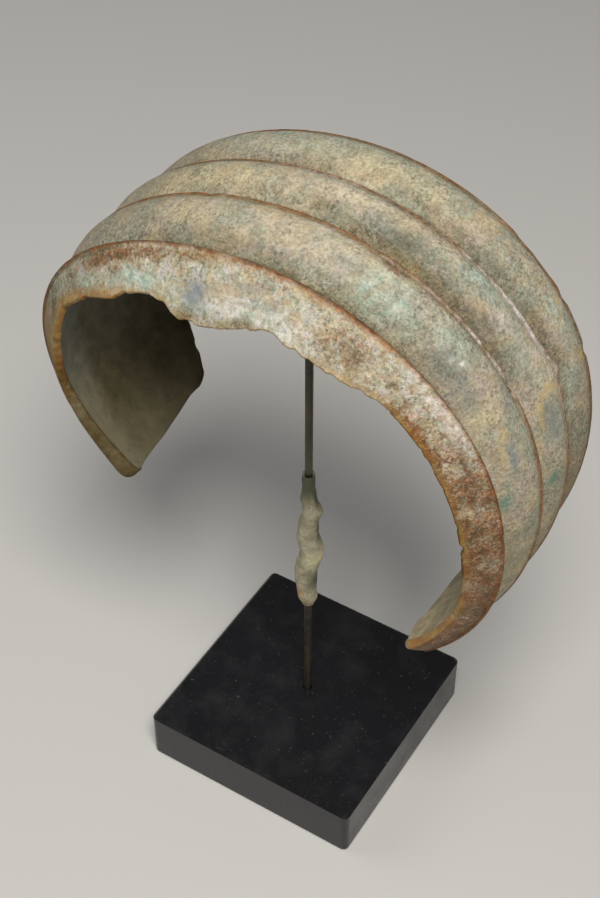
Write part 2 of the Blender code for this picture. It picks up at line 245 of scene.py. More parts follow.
class Section:
    """The section's measures at every station, as columns to be combined with the places across it."""

    def __init__(self, angle):
        self.left = angle < MIDDLE_ANGLE
        u = end_share(angle)
        tall = fading(u, HEIGHT_FADE_POWERS)
        wide = fading(u, SPREAD_FADE_POWERS)
        end_spread = np.where(self.left, *RIB_HALF_SPREAD_ENDS)
        end_depth = np.where(self.left, *CHANNEL_DEPTH_ENDS)
        end_thick = np.where(self.left, *RIM_THICKNESS_ENDS)
        self.height = RIB_HEIGHT_END + (RIB_HEIGHT - RIB_HEIGHT_END) * tall
        self.spread = end_spread + (RIB_HALF_SPREAD - end_spread) * wide
        self.depth = end_depth + (CHANNEL_DEPTH - end_depth) * tall
        self.thick = RIM_THICKNESS + (end_thick - RIM_THICKNESS) * u ** RIM_FADE_POWER
        self.recess = RECESS_DEPTH * (1 - u ** np.where(self.left, *RECESS_FADE_POWERS))
        self.bulge = SHOULDER_BULGE + (SHOULDER_BULGE_END - SHOULDER_BULGE) * u ** BULGE_FADE_POWER
        self.lean = np.where(self.left, *END_LEANS) * u ** LEAN_FADE_POWER
        self.outer = OUTER_RIB_RATIO * self.height
        first = bumps(angle, (FIRST_RIB_DRIFT_SHARES,))
        third = bumps(angle, (THIRD_RIB_DRIFT_SHARES,))
        self.crests = ((first - 1, self.outer), (-MIDDLE_RIB_RATIO, self.height),
                       (MIDDLE_RIB_RATIO + third, self.height), (1, self.outer))

    def band(self, t, side, flare, worn):
        """The band between an outer rib (t = 1) and its rim (t = 0)."""
        width = (flare - 1) * self.spread
        slope = np.hypot(width, self.outer)
        push = BAND_BULGE * 4 * t * (1 - t)
        reach = (1 - t) * (1 + worn - RIM_ROUND / slope)
        crest = self.spread * self.crests[0 if side < 0 else 3][0]
        y = crest + side * (width * reach + push * self.outer / slope)
        return y, self.outer - self.outer * reach + push * width / slope

    def flute(self, number, t):
        """The flute behind rib 0, 1 or 2: a sharp recess, then a shoulder up to the next rib."""
        (k0, h0), (k1, h1) = self.crests[number], self.crests[number + 1]
        fall = ((1 - t) / (1 - RECESS_SHARE)) ** SHOULDER_FALL_POWER
        drop = t / RECESS_SHARE if t < RECESS_SHARE else fall
        y = self.spread * (k0 + (k1 - k0) * t)
        return y, h0 + (h1 - h0) * t + self.bulge * 4 * t * (1 - t) - self.recess * drop


def station_angles():
    """Stations along the casting, closer together at its rounded ends, with their distance from the end."""
    first = LEFT_END_ANGLE
    last = RIGHT_END_ANGLE
    speed_first = arch_frame(np.array([first]))[4][0]
    speed_last = arch_frame(np.array([last]))[4][0]
    close = END_ROUND * np.array(END_STEP_SHARES[:-1])
    next_step = END_STEP_SHARES[-1] * END_ROUND
    middle = np.linspace(first + next_step / speed_first, last - next_step / speed_last,
                         STATIONS - 2 * len(close))
    angle = np.concatenate([first + close / speed_first, middle, last - close[::-1] / speed_last])
    distance = np.minimum((angle - first) * speed_first, (last - angle) * speed_last)
    return angle, distance


def crowded(count, power):
    """Places from 0 up to 1, closer together towards 1."""
    return 1 - (1 - np.linspace(0, 1, count, endpoint=False)) ** power


def rim_back(edge_y, edge_h, in_y, in_h, thick):
    """The inner edge of a rim, square across the band from its outer edge."""
    run_y, run_h = in_y - edge_y, in_h - edge_h
    length = np.hypot(run_y, run_h)
    side = np.sign(run_y)
    return edge_y + side * thick * run_h / length, edge_h - side * thick * run_y / length


def rim_arc(a_y, a_h, b_y, b_h, out_y, out_h):
    """Points of a rounded rim from one of its edges to the other."""
    length = np.hypot(out_y, out_h)
    ys, hs = [], []
    for i in range(1, RIM_COLUMNS + 1):
        turn = math.pi * i / (RIM_COLUMNS + 1)
        share = (1 - math.cos(turn)) / 2
        ys.append(a_y + (b_y - a_y) * share + out_y / length * RIM_ROUND * math.sin(turn))
        hs.append(a_h + (b_h - a_h) * share + out_h / length * RIM_ROUND * math.sin(turn))
    return np.stack(ys, 1), np.stack(hs, 1)


def casting_grid():
    """Every point of the casting as stations by columns; what each column is, its lane, its place inside.

    The lane says where a column lies on the outside: 0 near rim, 1 to 4 the ribs, 5 far rim; -1 elsewhere.
    """
    angle, end_distance = station_angles()
    sec = Section(angle)
    near = bumps(angle, NEAR_RIM_SHARES) + rim_wander(angle, 401, NEAR_RIM_WANDER_SHARE)
    far = bumps(angle, FAR_RIM_SHARES) + rim_wander(angle, 409, FAR_RIM_WANDER_SHARE)
    shoulder_t = RECESS_SHARE + (1 - RECESS_SHARE) * crowded(SHOULDER_COLUMNS, SHOULDER_CROWDING)
    flute_t = np.concatenate([np.linspace(0, RECESS_SHARE, RECESS_COLUMNS, endpoint=False), shoulder_t])
    band_t = crowded(BAND_COLUMNS, BAND_CROWDING)
    outer = [("band", t, sec.band(t, -1, NEAR_FLARE_RATIO, near)) for t in band_t]
    for n in range(3):
        outer += [("flute", n + 1 + t, sec.flute(n, t)) for t in flute_t]
    far_t = np.linspace(1, 0, FAR_BAND_COLUMNS + 1)
    outer += [("far_band", 5 - t, sec.band(t, 1, FAR_FLARE_RATIO, far)) for t in far_t]
    oy = np.stack([c[2][0] for c in outer], 1)
    oh = np.stack([c[2][1] for c in outer], 1)

    near_y, near_h = rim_back(oy[:, 0], oh[:, 0], oy[:, 1], oh[:, 1], sec.thick)
    far_y, far_h = rim_back(oy[:, -1], oh[:, -1], oy[:, -2], oh[:, -2], sec.thick)
    middle = (near_y + far_y) / 2
    half = (far_y - near_y) / 2
    steps = np.linspace(0, 1, INNER_COLUMNS)
    inner_s = -0.5 * np.cos(math.pi * steps) + 0.5 * (2 * steps - 1)
    iy = middle[:, None] + half[:, None] * inner_s
    edge = near_h[:, None] + (far_h - near_h)[:, None] * (inner_s + 1) / 2
    ih = edge + (sec.depth[:, None] - edge) * fading(np.abs(inner_s), HOLLOW_POWERS)

    far_arc = rim_arc(oy[:, -1], oh[:, -1], far_y, far_h, oy[:, -1] - oy[:, -2], oh[:, -1] - oh[:, -2])
    near_arc = rim_arc(near_y, near_h, oy[:, 0], oh[:, 0], oy[:, 0] - oy[:, 1], oh[:, 0] - oh[:, 1])
    y = np.concatenate([oy, far_arc[0], iy[:, ::-1], near_arc[0]], 1)
    h = np.concatenate([oh, far_arc[1], ih[:, ::-1], near_arc[1]], 1)
    kinds = [c[0] for c in outer] + ["far_rim"] * RIM_COLUMNS
    kinds += ["inside"] * INNER_COLUMNS + ["near_rim"] * RIM_COLUMNS
    lane = np.array([c[1] for c in outer] + [-1] * (2 * RIM_COLUMNS + INNER_COLUMNS))
    inner_place = np.concatenate([np.zeros(len(outer) + RIM_COLUMNS), inner_s[::-1], np.zeros(RIM_COLUMNS)])

    for i in np.nonzero(end_distance < END_ROUND)[0]:
        turn = math.sqrt(max(0, 1 - (1 - end_distance[i] / END_ROUND) ** 2))
        keep = END_ROUND_KEPT_SHARE + (1 - END_ROUND_KEPT_SHARE) * turn
        middle_h = (np.interp(y[i], oy[i], oh[i]) + np.interp(y[i], iy[i], ih[i])) / 2
        h[i] = middle_h + (h[i] - middle_h) * keep
    corner = np.clip(1 - end_distance / END_CORNER, 0, 1)
    narrow = 1 - END_CORNER_CUT_SHARE * (1 - np.sqrt(1 - corner ** 2))
    y = y * narrow[:, None]
    corner = np.clip(1 - end_distance / FAR_CORNER_REACH, 0, 1) * sec.left
    far_cut = FAR_CORNER_CUT_SHARE * (1 - np.sqrt(1 - corner ** 2))
    rim_share = np.maximum(0, y / (sec.spread[:, None] * NEAR_FLARE_RATIO))
    y = y * (1 - far_cut[:, None] * rim_share ** 2) + sec.lean[:, None]
    left = sec.left[:, None]
    start = np.where(left, *END_RETREAT_START_SHARES)
    across = np.clip((y / (sec.spread[:, None] * NEAR_FLARE_RATIO) + start) / (1 + start), 0, 1.2)
    power = np.where(left, *END_RETREAT_POWERS)
    fade = np.clip(1 - end_distance / END_RETREAT_REACH, 0, 1)[:, None] ** 2
    retreat = np.where(left, *END_RETREATS)
    turned = angle[:, None] + retreat * across ** power * fade / arch_frame(angle)[4][:, None]
    x, z, out_x, out_z, _ = arch_frame(turned)
    points = np.stack([CENTRE_X + x + out_x * h, y, CENTRE_Z + z + out_z * h], -1)
    return points, angle, kinds, lane, inner_place


def grid_normals(points):
    """Outward directions of the closed grid, one per point."""
    along = np.gradient(points, axis=0)
    around = np.roll(points, -1, 1) - np.roll(points, 1, 1)
    normal = np.cross(along, around)
    return normal / np.maximum(np.linalg.norm(normal, axis=2, keepdims=True), 1e-12)


def spot(angle, lane, centre_angle, centre_lane, half_angle, half_lane):
    """1 at a named place on the outside, fading to 0 round it."""
    return np.exp(-((angle - centre_angle) / half_angle) ** 2 - ((lane - centre_lane) / half_lane) ** 2)


def spots(angle, lane, places):
    """The strongest of several named places: angle, lane, half angle, half lane, strength."""
    total = np.zeros(angle.shape)
    for *where, strength in places:
        total = np.maximum(total, strength * spot(angle, lane, *where))
    return total


def window(value, rise_from, rise_to, fall_from, fall_to):
    """0, up to 1 between the first two values, and down to 0 between the last two."""
    return ramp(value, rise_from, rise_to) * (1 - ramp(value, fall_from, fall_to))


def by_flute(lane, first, second, third):
    """A value for each of the three flutes."""
    return np.where(lane < 2, first, np.where(lane < 3, second, third))


def strongest(*masks):
    """The largest of several masks at every point."""
    return np.maximum.reduce(masks)


class Places:
    """Where every point of the casting lies, as the relief and the colours ask for it."""

    def __init__(self, points, angle, kinds, lane, inner_place):
        self.points = points
        self.shape = points.shape[:2]
        self.flat = points.reshape(-1, 3)
        self.angle = np.broadcast_to(angle[:, None], self.shape)
        self.lane = np.broadcast_to(lane[None, :], self.shape)
        self.across = np.broadcast_to(inner_place[None, :], self.shape)
        self.along = end_share(self.angle)
        kind = np.broadcast_to(np.array(kinds)[None, :], self.shape)
        self.outside = self.lane >= 0
        self.front = kind == "band"
        self.beyond = self.outside & ~self.front
        self.inside = kind == "inside"
        self.near_rim = kind == "near_rim"
        self.rims = self.near_rim | (kind == "far_rim")
        self.behind = np.where(self.outside, self.lane - np.floor(self.lane), 0.5)
        self.ahead = np.where(self.outside & (kind != "far_band"), 1 - self.behind, 1)
        self.before_rib = (1 - ramp(self.ahead, 0.07, 0.15)) * self.beyond
        self.in_flute = self.outside & (self.lane >= 1) & (self.lane < 4)
        on_rib = self.outside & (self.lane > 0.5) & (self.lane < 4.5)
        self.from_rib = np.where(on_rib, self.lane - np.round(self.lane), 0.5)

    def noise(self, size, seed, layers=3, rough=0.5):
        """Layered noise at every point."""
        return layered_noise(self.flat, size, seed, layers, rough).reshape(self.shape)

    def stain(self):
        """The noises that break up the colours, and the places moved a little by them."""
        self.broad = self.noise(0.012, 101, 3, 0.6)
        self.blotch = self.noise(0.0055, 111, 4, 0.6)
        self.fleck = self.noise(0.002, 131, 3, 0.7)
        self.bend = self.angle + 0.02 * self.blotch
        self.cross = self.lane + 0.04 * self.blotch

    def mottle(self, level, blotch=1, fleck=0):
        """A share from 0 to 1 that wavers with the noises."""
        return np.clip(level + blotch * self.blotch + fleck * self.fleck, 0, 1)

    def spots(self, places):
        """Named places on the outside, with ragged edges."""
        return self.outside * spots(self.bend, self.cross, places)


# Relief of the casting, in metres: size and depth of each noise, pits, crust and wear
WAVE = (0.014, 0.00014)
BLOB = (0.0055, 0.00007)
GRAIN = (0.0022, 0.00005)
INSIDE_WAVE = (0.006, 0.0001)
MEAN_WEAR = 0.00022
CREST_WEAR = 0.00007
RIB_LIP_DEPTH = 0.00022
INNER_CORNER_DEPTH = 0.0007
CRUST_BLOB_DEPTH = 0.0003
CRUST_GRAIN_DEPTH = 0.00022
PIT_SPACING = 0.0022
PIT_RADII = (0.0003, 0.001)
PIT_CELL_SHARE = 0.55
PIT_DEPTH = 0.00007
PIT_DEPTH_IN_GRIME = 0.00015
PIT_DEPTH_INSIDE = 0.00004
CHIP_HALF_LANE = 0.06

# Chips knocked out of the ribs: angle, rib, half length in radians, depth in metres
RIB_CHIPS = ((0.9, 2, 0.022, 0.0009), (0.42, 3, 0.022, 0.0006), (1.04, 3, 0.02, 0.0009),
             (0.635, 4, 0.022, 0.0014), (-0.35, 2, 0.015, 0.0004), (1.35, 1, 0.016, 0.0005),
             (0.1, 1, 0.014, 0.0004), (0.3, 2, 0.012, 0.0004), (1.06, 4, 0.02, 0.0005),
             (0.86, 4, 0.018, 0.0006), (0.73, 4, 0.05, 0.0005))


def casting_relief(at):
    """How far each point of the casting stands below (negative) its smooth surface, in metres."""
    angle, lane = at.angle, at.lane
    wave = at.noise(WAVE[0], 11)
    blob = at.noise(BLOB[0], 17, 3, 0.55)
    grain = at.noise(GRAIN[0], 23, 3, 0.6)
    pits = pit_field(at.flat, PIT_SPACING, *PIT_RADII, 51, PIT_CELL_SHARE).reshape(at.shape)
    relief = -MEAN_WEAR + WAVE[1] * wave + BLOB[1] * blob + GRAIN[1] * grain
    crust = CRUST_BLOB_DEPTH * np.clip(blob + 0.4 * grain, 0, 1.5) + CRUST_GRAIN_DEPTH * np.abs(grain)
    relief -= at.front * (0.45 + 0.55 * hump(angle, -0.15, 0.55)) * crust
    lip = window(-at.from_rib, 0.012, 0.05, 0.07, 0.22) * (1 - at.along ** 6)
    relief -= RIB_LIP_DEPTH * lip * at.outside
    crest = hump(at.from_rib, 0, 0.03)
    relief = np.where(crest > 0.02, relief * (1 - 0.75 * crest) - crest * CREST_WEAR * (1 + grain), relief)
    # The zone behind the ribs where the colours hold dirt and painted shade; pits lie deeper there.
    grime_and_shade = at.in_flute * window(at.behind, 0.04, 0.12, 0.3, 0.62)
    relief -= pits * np.where(at.outside, PIT_DEPTH + PIT_DEPTH_IN_GRIME * grime_and_shade, PIT_DEPTH_INSIDE)
    for chip_angle, rib, length, depth in RIB_CHIPS:
        ragged = spot(angle + 0.01 * grain, lane + 0.03 * blob, chip_angle, rib, length, CHIP_HALF_LANE)
        relief -= depth * ragged * at.outside
    relief += at.inside * (INSIDE_WAVE[1] * at.noise(INSIDE_WAVE[0], 71))
    inner_corner = at.inside * hump(at.across, -1, 0.05)
    relief -= INNER_CORNER_DEPTH * inner_corner * ramp(-angle, 1.3, 1.7)
    return np.minimum(relief, 0)


# Coloured places on the outside: angle, lane, half angle, half lane, strength
VERDIGRIS_SPOTS = (
    (-0.47, 0.2, 0.09, 0.2, 1.4), (-0.8, 0.2, 0.05, 0.15, 1.4), (-0.62, 0.3, 0.08, 0.12, 0.7),
    (0.02, 0.2, 0.2, 0.14, 0.6), (-1.03, 0.45, 0.05, 0.22, 0.9), (0.43, 1.45, 0.14, 0.28, 1),
    (0.84, 3.62, 0.07, 0.15, 0.9), (0.22, 1.25, 0.15, 0.12, 0.5), (0.62, 1.6, 0.1, 0.18, 0.6),
    (1.12, 3.4, 0.08, 0.2, 0.5), (0.6, 2.72, 0.1, 0.15, 0.5), (-0.25, 3.6, 0.3, 0.3, 0.5),
    (1.08, 1.85, 0.1, 0.1, 0.6), (0.15, 0.06, 0.12, 0.1, 0.7), (-0.32, 0.12, 0.07, 0.1, 0.6),
    (1.15, 0.6, 0.2, 0.18, 0.4))
TEAL_SPOTS = (
    (1.25, 1.29, 0.03, 0.07, 1), (1.365, 2.5, 0.035, 0.1, 1), (1.19, 1.36, 0.02, 0.05, 0.6))
BLUE_SPOTS = (
    (-0.205, 0.38, 0.05, 0.17, 1.6), (0.1, 0.38, 0.08, 0.08, 0.6), (0.92, 1.8, 0.05, 0.15, 0.5),
    (0.78, 1.35, 0.12, 0.2, 0.5), (1.1, 1.52, 0.07, 0.08, 0.9), (1.12, 2.58, 0.06, 0.12, 0.8),
    (0.02, 0.62, 0.08, 0.07, 0.5), (-0.8, 2.5, 0.15, 0.3, 0.4), (0.3, 2.45, 0.1, 0.12, 0.4))
OCHRE_SPOTS = (
    (1, 1.52, 0.016, 0.04, 0.9), (1.02, 1.46, 0.018, 0.035, 1), (1.05, 1.41, 0.025, 0.025, 1),
    (1.085, 1.37, 0.025, 0.02, 0.8), (1.025, 2.8, 0.014, 0.1, 0.8), (1.016, 2.62, 0.014, 0.08, 1),
    (1.03, 2.5, 0.016, 0.05, 1), (1.055, 2.4, 0.022, 0.035, 1), (1.1, 2.37, 0.03, 0.03, 0.9),
    (1.055, 3.78, 0.025, 0.1, 1), (0.845, 3.76, 0.012, 0.05, 1), (-0.92, 0.06, 0.18, 0.16, 1.6),
    (-0.72, 0.04, 0.12, 0.12, 1.5), (-0.37, 0.02, 0.06, 0.06, 0.8), (-0.05, 0.47, 0.06, 0.1, 0.45),
    (0.42, 2.19, 0.02, 0.06, 1), (-0.24, 0.03, 0.1, 0.04, 0.8), (0.5, 0.04, 0.25, 0.06, 0.6),
    (-0.15, 0.9, 0.1, 0.08, 0.6), (0.3, 0.88, 0.14, 0.09, 0.5), (2.1, 0.1, 0.25, 0.1, 0.9))
RED_SPOTS = (
    (-0.53, 0.76, 0.2, 0.16, 1), (-0.72, 0.72, 0.12, 0.2, 0.9), (-0.62, 0.48, 0.04, 0.16, 0.7),
    (0.54, 0.48, 0.28, 0.38, 0.62), (0.15, 0.85, 0.25, 0.12, 0.15), (0.465, 2.94, 0.03, 0.07, 1),
    (0.38, 1.87, 0.06, 0.07, 0.9), (-0.3, 0.86, 0.15, 0.1, 0.7))
# The glint places are painted highlights: pinkish-white sheen on the rib crests and the front band.
GLINT_SPOTS = (
    (0.76, 0.78, 0.14, 0.16, 1), (0.9, 0.8, 0.07, 0.14, 0.8), (0.55, 0.55, 0.2, 0.25, 0.1),
    (0.72, 1.97, 0.22, 0.03, 1), (0.16, 1.87, 0.09, 0.07, 0.6), (0.35, 1.95, 0.1, 0.03, 0.4),
    (-0.05, 0.32, 0.12, 0.16, 0.8), (0.18, 0.07, 0.12, 0.1, 0.7), (0.78, 2.955, 0.26, 0.055, 1.5),
    (0.12, 2.68, 0.2, 0.2, 0.35), (0.12, 1.62, 0.25, 0.22, 0.22), (0.02, 2.93, 0.2, 0.06, 0.6),
    (-0.035, 0.21, 0.05, 0.1, 1), (0.11, 0.1, 0.05, 0.07, 0.9), (0.2, 0.24, 0.12, 0.14, 0.6),
    (0.7, 1.45, 0.008, 0.03, 1.4), (0.73, 1.53, 0.008, 0.03, 1.4), (0.97, 2.01, 0.012, 0.05, 1),
    (0.74, 2.52, 0.06, 0.2, 0.35), (0.93, 2.66, 0.1, 0.22, 0.45), (-0.09, 0.18, 0.03, 0.08, 0.7))
CREAM_SPOTS = (
    (-0.55, 2.45, 0.55, 0.4, 1), (-0.3, 1.55, 0.3, 0.3, 0.45), (-0.45, 3.5, 0.25, 0.3, 0.35),
    (0.15, 3.5, 0.3, 0.35, 1), (0.15, 2.65, 0.25, 0.25, 0.8), (-0.05, 0.48, 0.1, 0.14, 1),
    (0.1, 1.75, 0.3, 0.25, 0.6), (0.92, 1.42, 0.07, 0.2, 1), (1.7, 1.7, 0.3, 0.5, 0.9),
    (1.5, 3.0, 0.4, 0.6, 0.6), (0.25, 0.6, 0.12, 0.2, 0.7), (1, 2.62, 0.05, 0.2, 0.8))
DARK_SPOTS = (
    (0.08, 2.32, 0.16, 0.16, 0.8), (0.35, 2.42, 0.18, 0.2, 0.9), (0.68, 2.25, 0.25, 0.22, 1.3),
    (0.3, 1.22, 0.5, 0.1, 0.5), (0.25, 3.26, 0.3, 0.16, 0.7), (0.62, 3.24, 0.3, 0.2, 0.7),
    (1.18, 0.35, 0.1, 0.22, 0.5), (0.68, 1.3, 0.22, 0.2, 0.7), (-0.91, 0.55, 0.045, 0.4, 1),
    (-0.15, 3.45, 0.15, 0.25, 0.35), (0, 0.04, 0.09, 0.1, 1.6), (-0.12, 0.05, 0.14, 0.1, 1.5),
    (1.1, 2.45, 0.1, 0.12, 0.5), (0.5, 0.32, 0.22, 0.25, 0.35), (1.05, 1.3, 0.05, 0.06, 0.6),
    (1.02, 0.62, 0.1, 0.12, 0.6), (0.3, 1.5, 0.05, 0.12, 0.5), (0.55, 1.42, 0.06, 0.12, 0.6),
    (-0.2, 0.6, 0.1, 0.06, 0.4))


def rib_edge_mask(at):
    """Rubbed copper on the crests of the ribs and just before them."""
    front, angle = at.front, at.angle
    width = np.where(front, 0.09 + 0.07 * window(angle, -0.25, 0, 0.8, 1.1), 0.055)
    width = width * (1 + 0.7 * at.fleck)
    edge = (1 - ramp(at.ahead, 0.35 * width, width)) * at.mottle(0.85, 0.7, 0.4)
    edge = np.maximum(edge, hump(at.from_rib, 0, 0.018) * at.mottle(0.9, 0.5))
    return np.where(front & (angle < -0.95), edge * 0.3, edge)


def red_mask(at, red_places):
    """How thickly the rust-red specks lie."""
    angle, lane, front, blotch = at.angle, at.lane, at.front, at.blotch
    return strongest(
        red_places * at.mottle(0.8, 1.1),
        front * 0.88 * ramp(angle, 0.6, 1.1) * at.mottle(0.92, 0.8, 0.3),
        front * ramp(angle, 0.4, 0.75) * (1 - ramp(lane, 0.12, 0.4)) * (0.7 + blotch),
        (lane >= 4) * 0.8 * window(lane, 3.9, 4.0, 4.1, 4.35) * (0.6 + 0.9 * blotch),
        at.rims * (0.3 + 0.5 * blotch))


def rust_mask(at, red_places):
    """A thin film of rust over the other colours."""
    angle, lane, front = at.angle, at.lane, at.front
    clear_strip = 0.65 * window(lane, 0.42, 0.6, 0.88, 0.97) * (1 - ramp(angle, 1, 1.35))
    grainy = (0.4 - 0.15 * ramp(angle, 1.25, 1.4)) * window(lane, 0.1, 0.25, 0.85, 0.92)
    behind_ribs = by_flute(lane, 0.8 * window(angle, -0.5, -0.35, 0.25, 0.4),
                           0.5 * window(angle, -0.3, -0.2, 0.05, 0.15),
                           0.65 * window(angle, -0.3, -0.2, 0.5, 0.65))
    on_rims = np.where(angle < 0, 0.85, 0.4 + 0.6 * ramp(angle, 0.5, 0.9))
    rust = strongest(
        front * ramp(angle, 0.4, 1.1) * (1 - clear_strip) * (1 - grainy),
        front * ramp(angle, 0.42, 0.8) * (1 - ramp(lane, 0.1, 0.24)),
        np.where(angle < 0.1, 0.8, 0.4) * front * red_places,
        at.in_flute * behind_ribs * (1 - ramp(at.behind, 0.1, 0.2)),
        0.8 * at.before_rib,
        at.rims * on_rims * (1 - 0.5 * ramp(angle, 1.65, 1.85)),
        at.beyond * (0.2 + 0.35 * ramp(lane, 2.2, 3.0)) * ramp(angle, 1.15, 1.7))
    rust = rust * (1 - 0.9 * spot(angle, lane, 0.8, 2.95, 0.3, 0.1))
    return np.clip(rust * (0.9 + 0.6 * at.blotch), 0, 1)


def grime_and_shade_mask(at):
    """Dark dirt and painted shade in lines and strips behind the ribs, on the ends, in the hollow and on
    the rims.
    """
    angle, lane, behind, blotch = at.angle, at.lane, at.behind, at.blotch
    wide = by_flute(lane, 0.6 * (1 - ramp(angle, 0.62, 1)) * (1 - 0.55 * ramp(-angle, 0.4, 0.7)),
                    0.35 + 0.6 * window(angle, 0, 0.3, 0.8, 1.02) - 0.3 * ramp(angle, 0.75, 1),
                    0.6 - 0.5 * window(angle, -0.1, 0.1, 0.25, 0.4) + 0.15 * ramp(angle, 0.5, 0.7))
    line = by_flute(lane, 0.55 + 0.3 * ramp(angle, 0.5, 0.65),
                    0.55 + 0.35 * window(angle, -0.35, -0.2, 0, 0.1),
                    0.55 + 0.45 * window(angle, -0.35, -0.15, 0.45, 0.6))
    grime_and_shade = line * (1 - ramp(behind, 0.08, 0.2)) + wide * (1 - ramp(behind, 0.2, 0.5))
    line_share = np.where(lane < 2, window(angle, -0.1, 0.1, 0.7, 0.85), ramp(-angle, -0.5, -0.3))
    grime_and_shade = grime_and_shade + 0.25 * at.before_rib * line_share
    grime_and_shade = grime_and_shade + 0.3 * ramp(-angle, 0.3, 0.7) * ramp(behind, 0.2, 0.5)
    grime_and_shade = grime_and_shade + 0.35 * ramp(lane, 3.3, 3.5) * ramp(angle, 0.9, 1.2)
    grime_and_shade = at.in_flute * grime_and_shade + at.beyond * 0.4 * ramp(behind, 0.88, 0.97)
    grime_and_shade = np.maximum(grime_and_shade, 0.85 * at.spots(DARK_SPOTS) * (0.7 + 0.7 * blotch))

    # Painted shade and dirt darkening the ends of the casting.
    left_part = 0.34 * ramp(-angle, 0.62, 0.8) + 0.8 * ramp(lane, 0.8, 0.9) * ramp(-angle, 0.45, 0.7)
    right_part = (0.05 + 0.35 * ramp(lane, 0.3, 0.7)) * ramp(angle, 1.45, 1.95)
    right_part = right_part + 0.3 * ramp(angle, 1.95, 2.2)
    front_ends = strongest(0.85 * ramp(-angle, 1.1, 1.45), right_part, left_part)
    other_ends = 0.8 * np.maximum(ramp(-angle, 1.5, 2.1), ramp(angle, 1.95, 2.35))
    grime_and_shade = strongest(grime_and_shade, at.front * front_ends, at.beyond * other_ends)
    across = at.across
    # In the hollow this is painted shade, darker towards its far side.
    in_hollow = np.where(angle < 0, 0.8 * ramp(across, -0.15, 0.75), 0.15 * ramp(across, 0, 0.8))
    grime_and_shade = np.where(at.inside, in_hollow, grime_and_shade)
    on_rims = np.where(angle < 0, 0.95 * ramp(-angle, 1, 1.7), 0.9 * window(angle, 0.55, 0.75, 1.5, 1.7))
    grime_and_shade = np.where(at.rims, on_rims, grime_and_shade)
    return np.clip(grime_and_shade * (0.95 + 0.6 * blotch + 0.35 * at.fleck), 0, 1)


def ochre_mask(at):
    """Ochre along the near rim, on the left end and in small hooks and dots."""
    angle, lane, front = at.angle, at.lane, at.front
    rim_side = front * (1 - ramp(lane, 0.02, 0.11 + 0.08 * ramp(angle, 0.6, 1)))
    along_rim = 0.45 + 0.55 * np.maximum(ramp(angle, 0.45, 0.9), ramp(-angle, 0.42, 0.6))
    ochre = np.maximum(rim_side * 0.9, at.near_rim * 1.4) * along_rim
    ochre = ochre * (1 - 0.6 * ramp(-angle, 1.65, 1.9))
    right_end = 0.3 * at.rims * ramp(angle, 1.5, 1.8)
    return strongest(
        np.clip(ochre * (0.75 + 1.1 * at.blotch) + right_end, 0, 1),
        0.8 * front * window(-angle, 1.1, 1.22, 1.9, 2.2),
        at.outside * spots(at.bend, lane, OCHRE_SPOTS) * at.mottle(0.95, 0.7))


def casting_masks(at):
    """Four sets of four masks from 0 to 1 that say where each colour of the patina lies, and where shade
    and highlights are painted.
    """
    at.stain()
    angle, lane, across, inside = at.angle, at.lane, at.across, at.inside
    green = at.spots(VERDIGRIS_SPOTS) * at.mottle(0.75)
    inner_grey = window(-angle, 0.9, 1.1, 1.5, 1.9) * window(across, -1.1, -1, -0.7, -0.3)
    blue = np.maximum(at.spots(BLUE_SPOTS) * at.mottle(0.9, 0.8), inside * inner_grey * at.mottle(0.8, 0.8))
    # Painted highlights where the glint places lie.
    glint = at.outside * spots(angle, lane, GLINT_SPOTS) * at.mottle(0.7, 0, 1.2)
    pale = at.outside * (spots(at.bend, at.cross, CREAM_SPOTS) + 0.3 * at.broad)
    cream = np.maximum(np.clip(pale, 0, 1), inside * 0.8 * ramp(angle, 1.3, 2.0))
    # Khaki-brown towards the ends of the flutes, partly painted shade.
    brown = at.beyond * (0.6 * ramp(-angle, 0.8, 1.4) + 0.5 * ramp(angle, 1.2, 1.7))
    brown = brown * (0.8 + 0.6 * at.blotch)
    # A painted shadow: a thin dark line in the recess just behind each rib, partly dirt.
    recess = at.in_flute * window(at.behind, 0.002, 0.012, 0.05, 0.13)

    olive_end = np.maximum(ramp(-angle, 0.98, 1.1), 0.8 * spot(angle, lane, -0.905, 0.5, 0.04, 0.45))
    smooth_rims = at.rims * (angle < 0) * ramp(-angle, 1.52, 1.85)
    # Painted light on the hollow: its near side on the left, the right end, and near both ends.
    light = np.where(angle < 0, 0.75 * (1 - ramp(across, -0.85, -0.35)), ramp(angle, 1.15, 2.05))
    light = np.maximum(light, 0.35 * ramp(at.along, 0.82, 0.98))
    inner_light = np.where(inside, light, at.rims)
    red_places = at.spots(RED_SPOTS)
    layers = ((rib_edge_mask(at), grime_and_shade_mask(at), ochre_mask(at), green),
              (at.spots(TEAL_SPOTS), blue, glint, np.maximum(inside, smooth_rims)),
              (at.front, cream, brown, red_mask(at, red_places)),
              (at.front * olive_end, recess, inner_light, rust_mask(at, red_places)))
    return [np.clip(np.stack(layer, -1), 0, 1).reshape(-1, 4) for layer in layers]


def zip_cap(verts, upper, lower, flip):
    """Triangles between two rows of points that run the same way, for a cut end."""
    faces = []
    i = j = 0
    while i < len(upper) - 1 or j < len(lower) - 1:
        step_upper = j == len(lower) - 1 or (
            i < len(upper) - 1 and verts[upper[i + 1]][1] <= verts[lower[j + 1]][1])
        if step_upper:
            face = (upper[i], upper[i + 1], lower[j])
            i += 1
        else:
            face = (upper[i], lower[j + 1], lower[j])
            j += 1
        faces.append(face[::-1] if flip else face)
    return faces


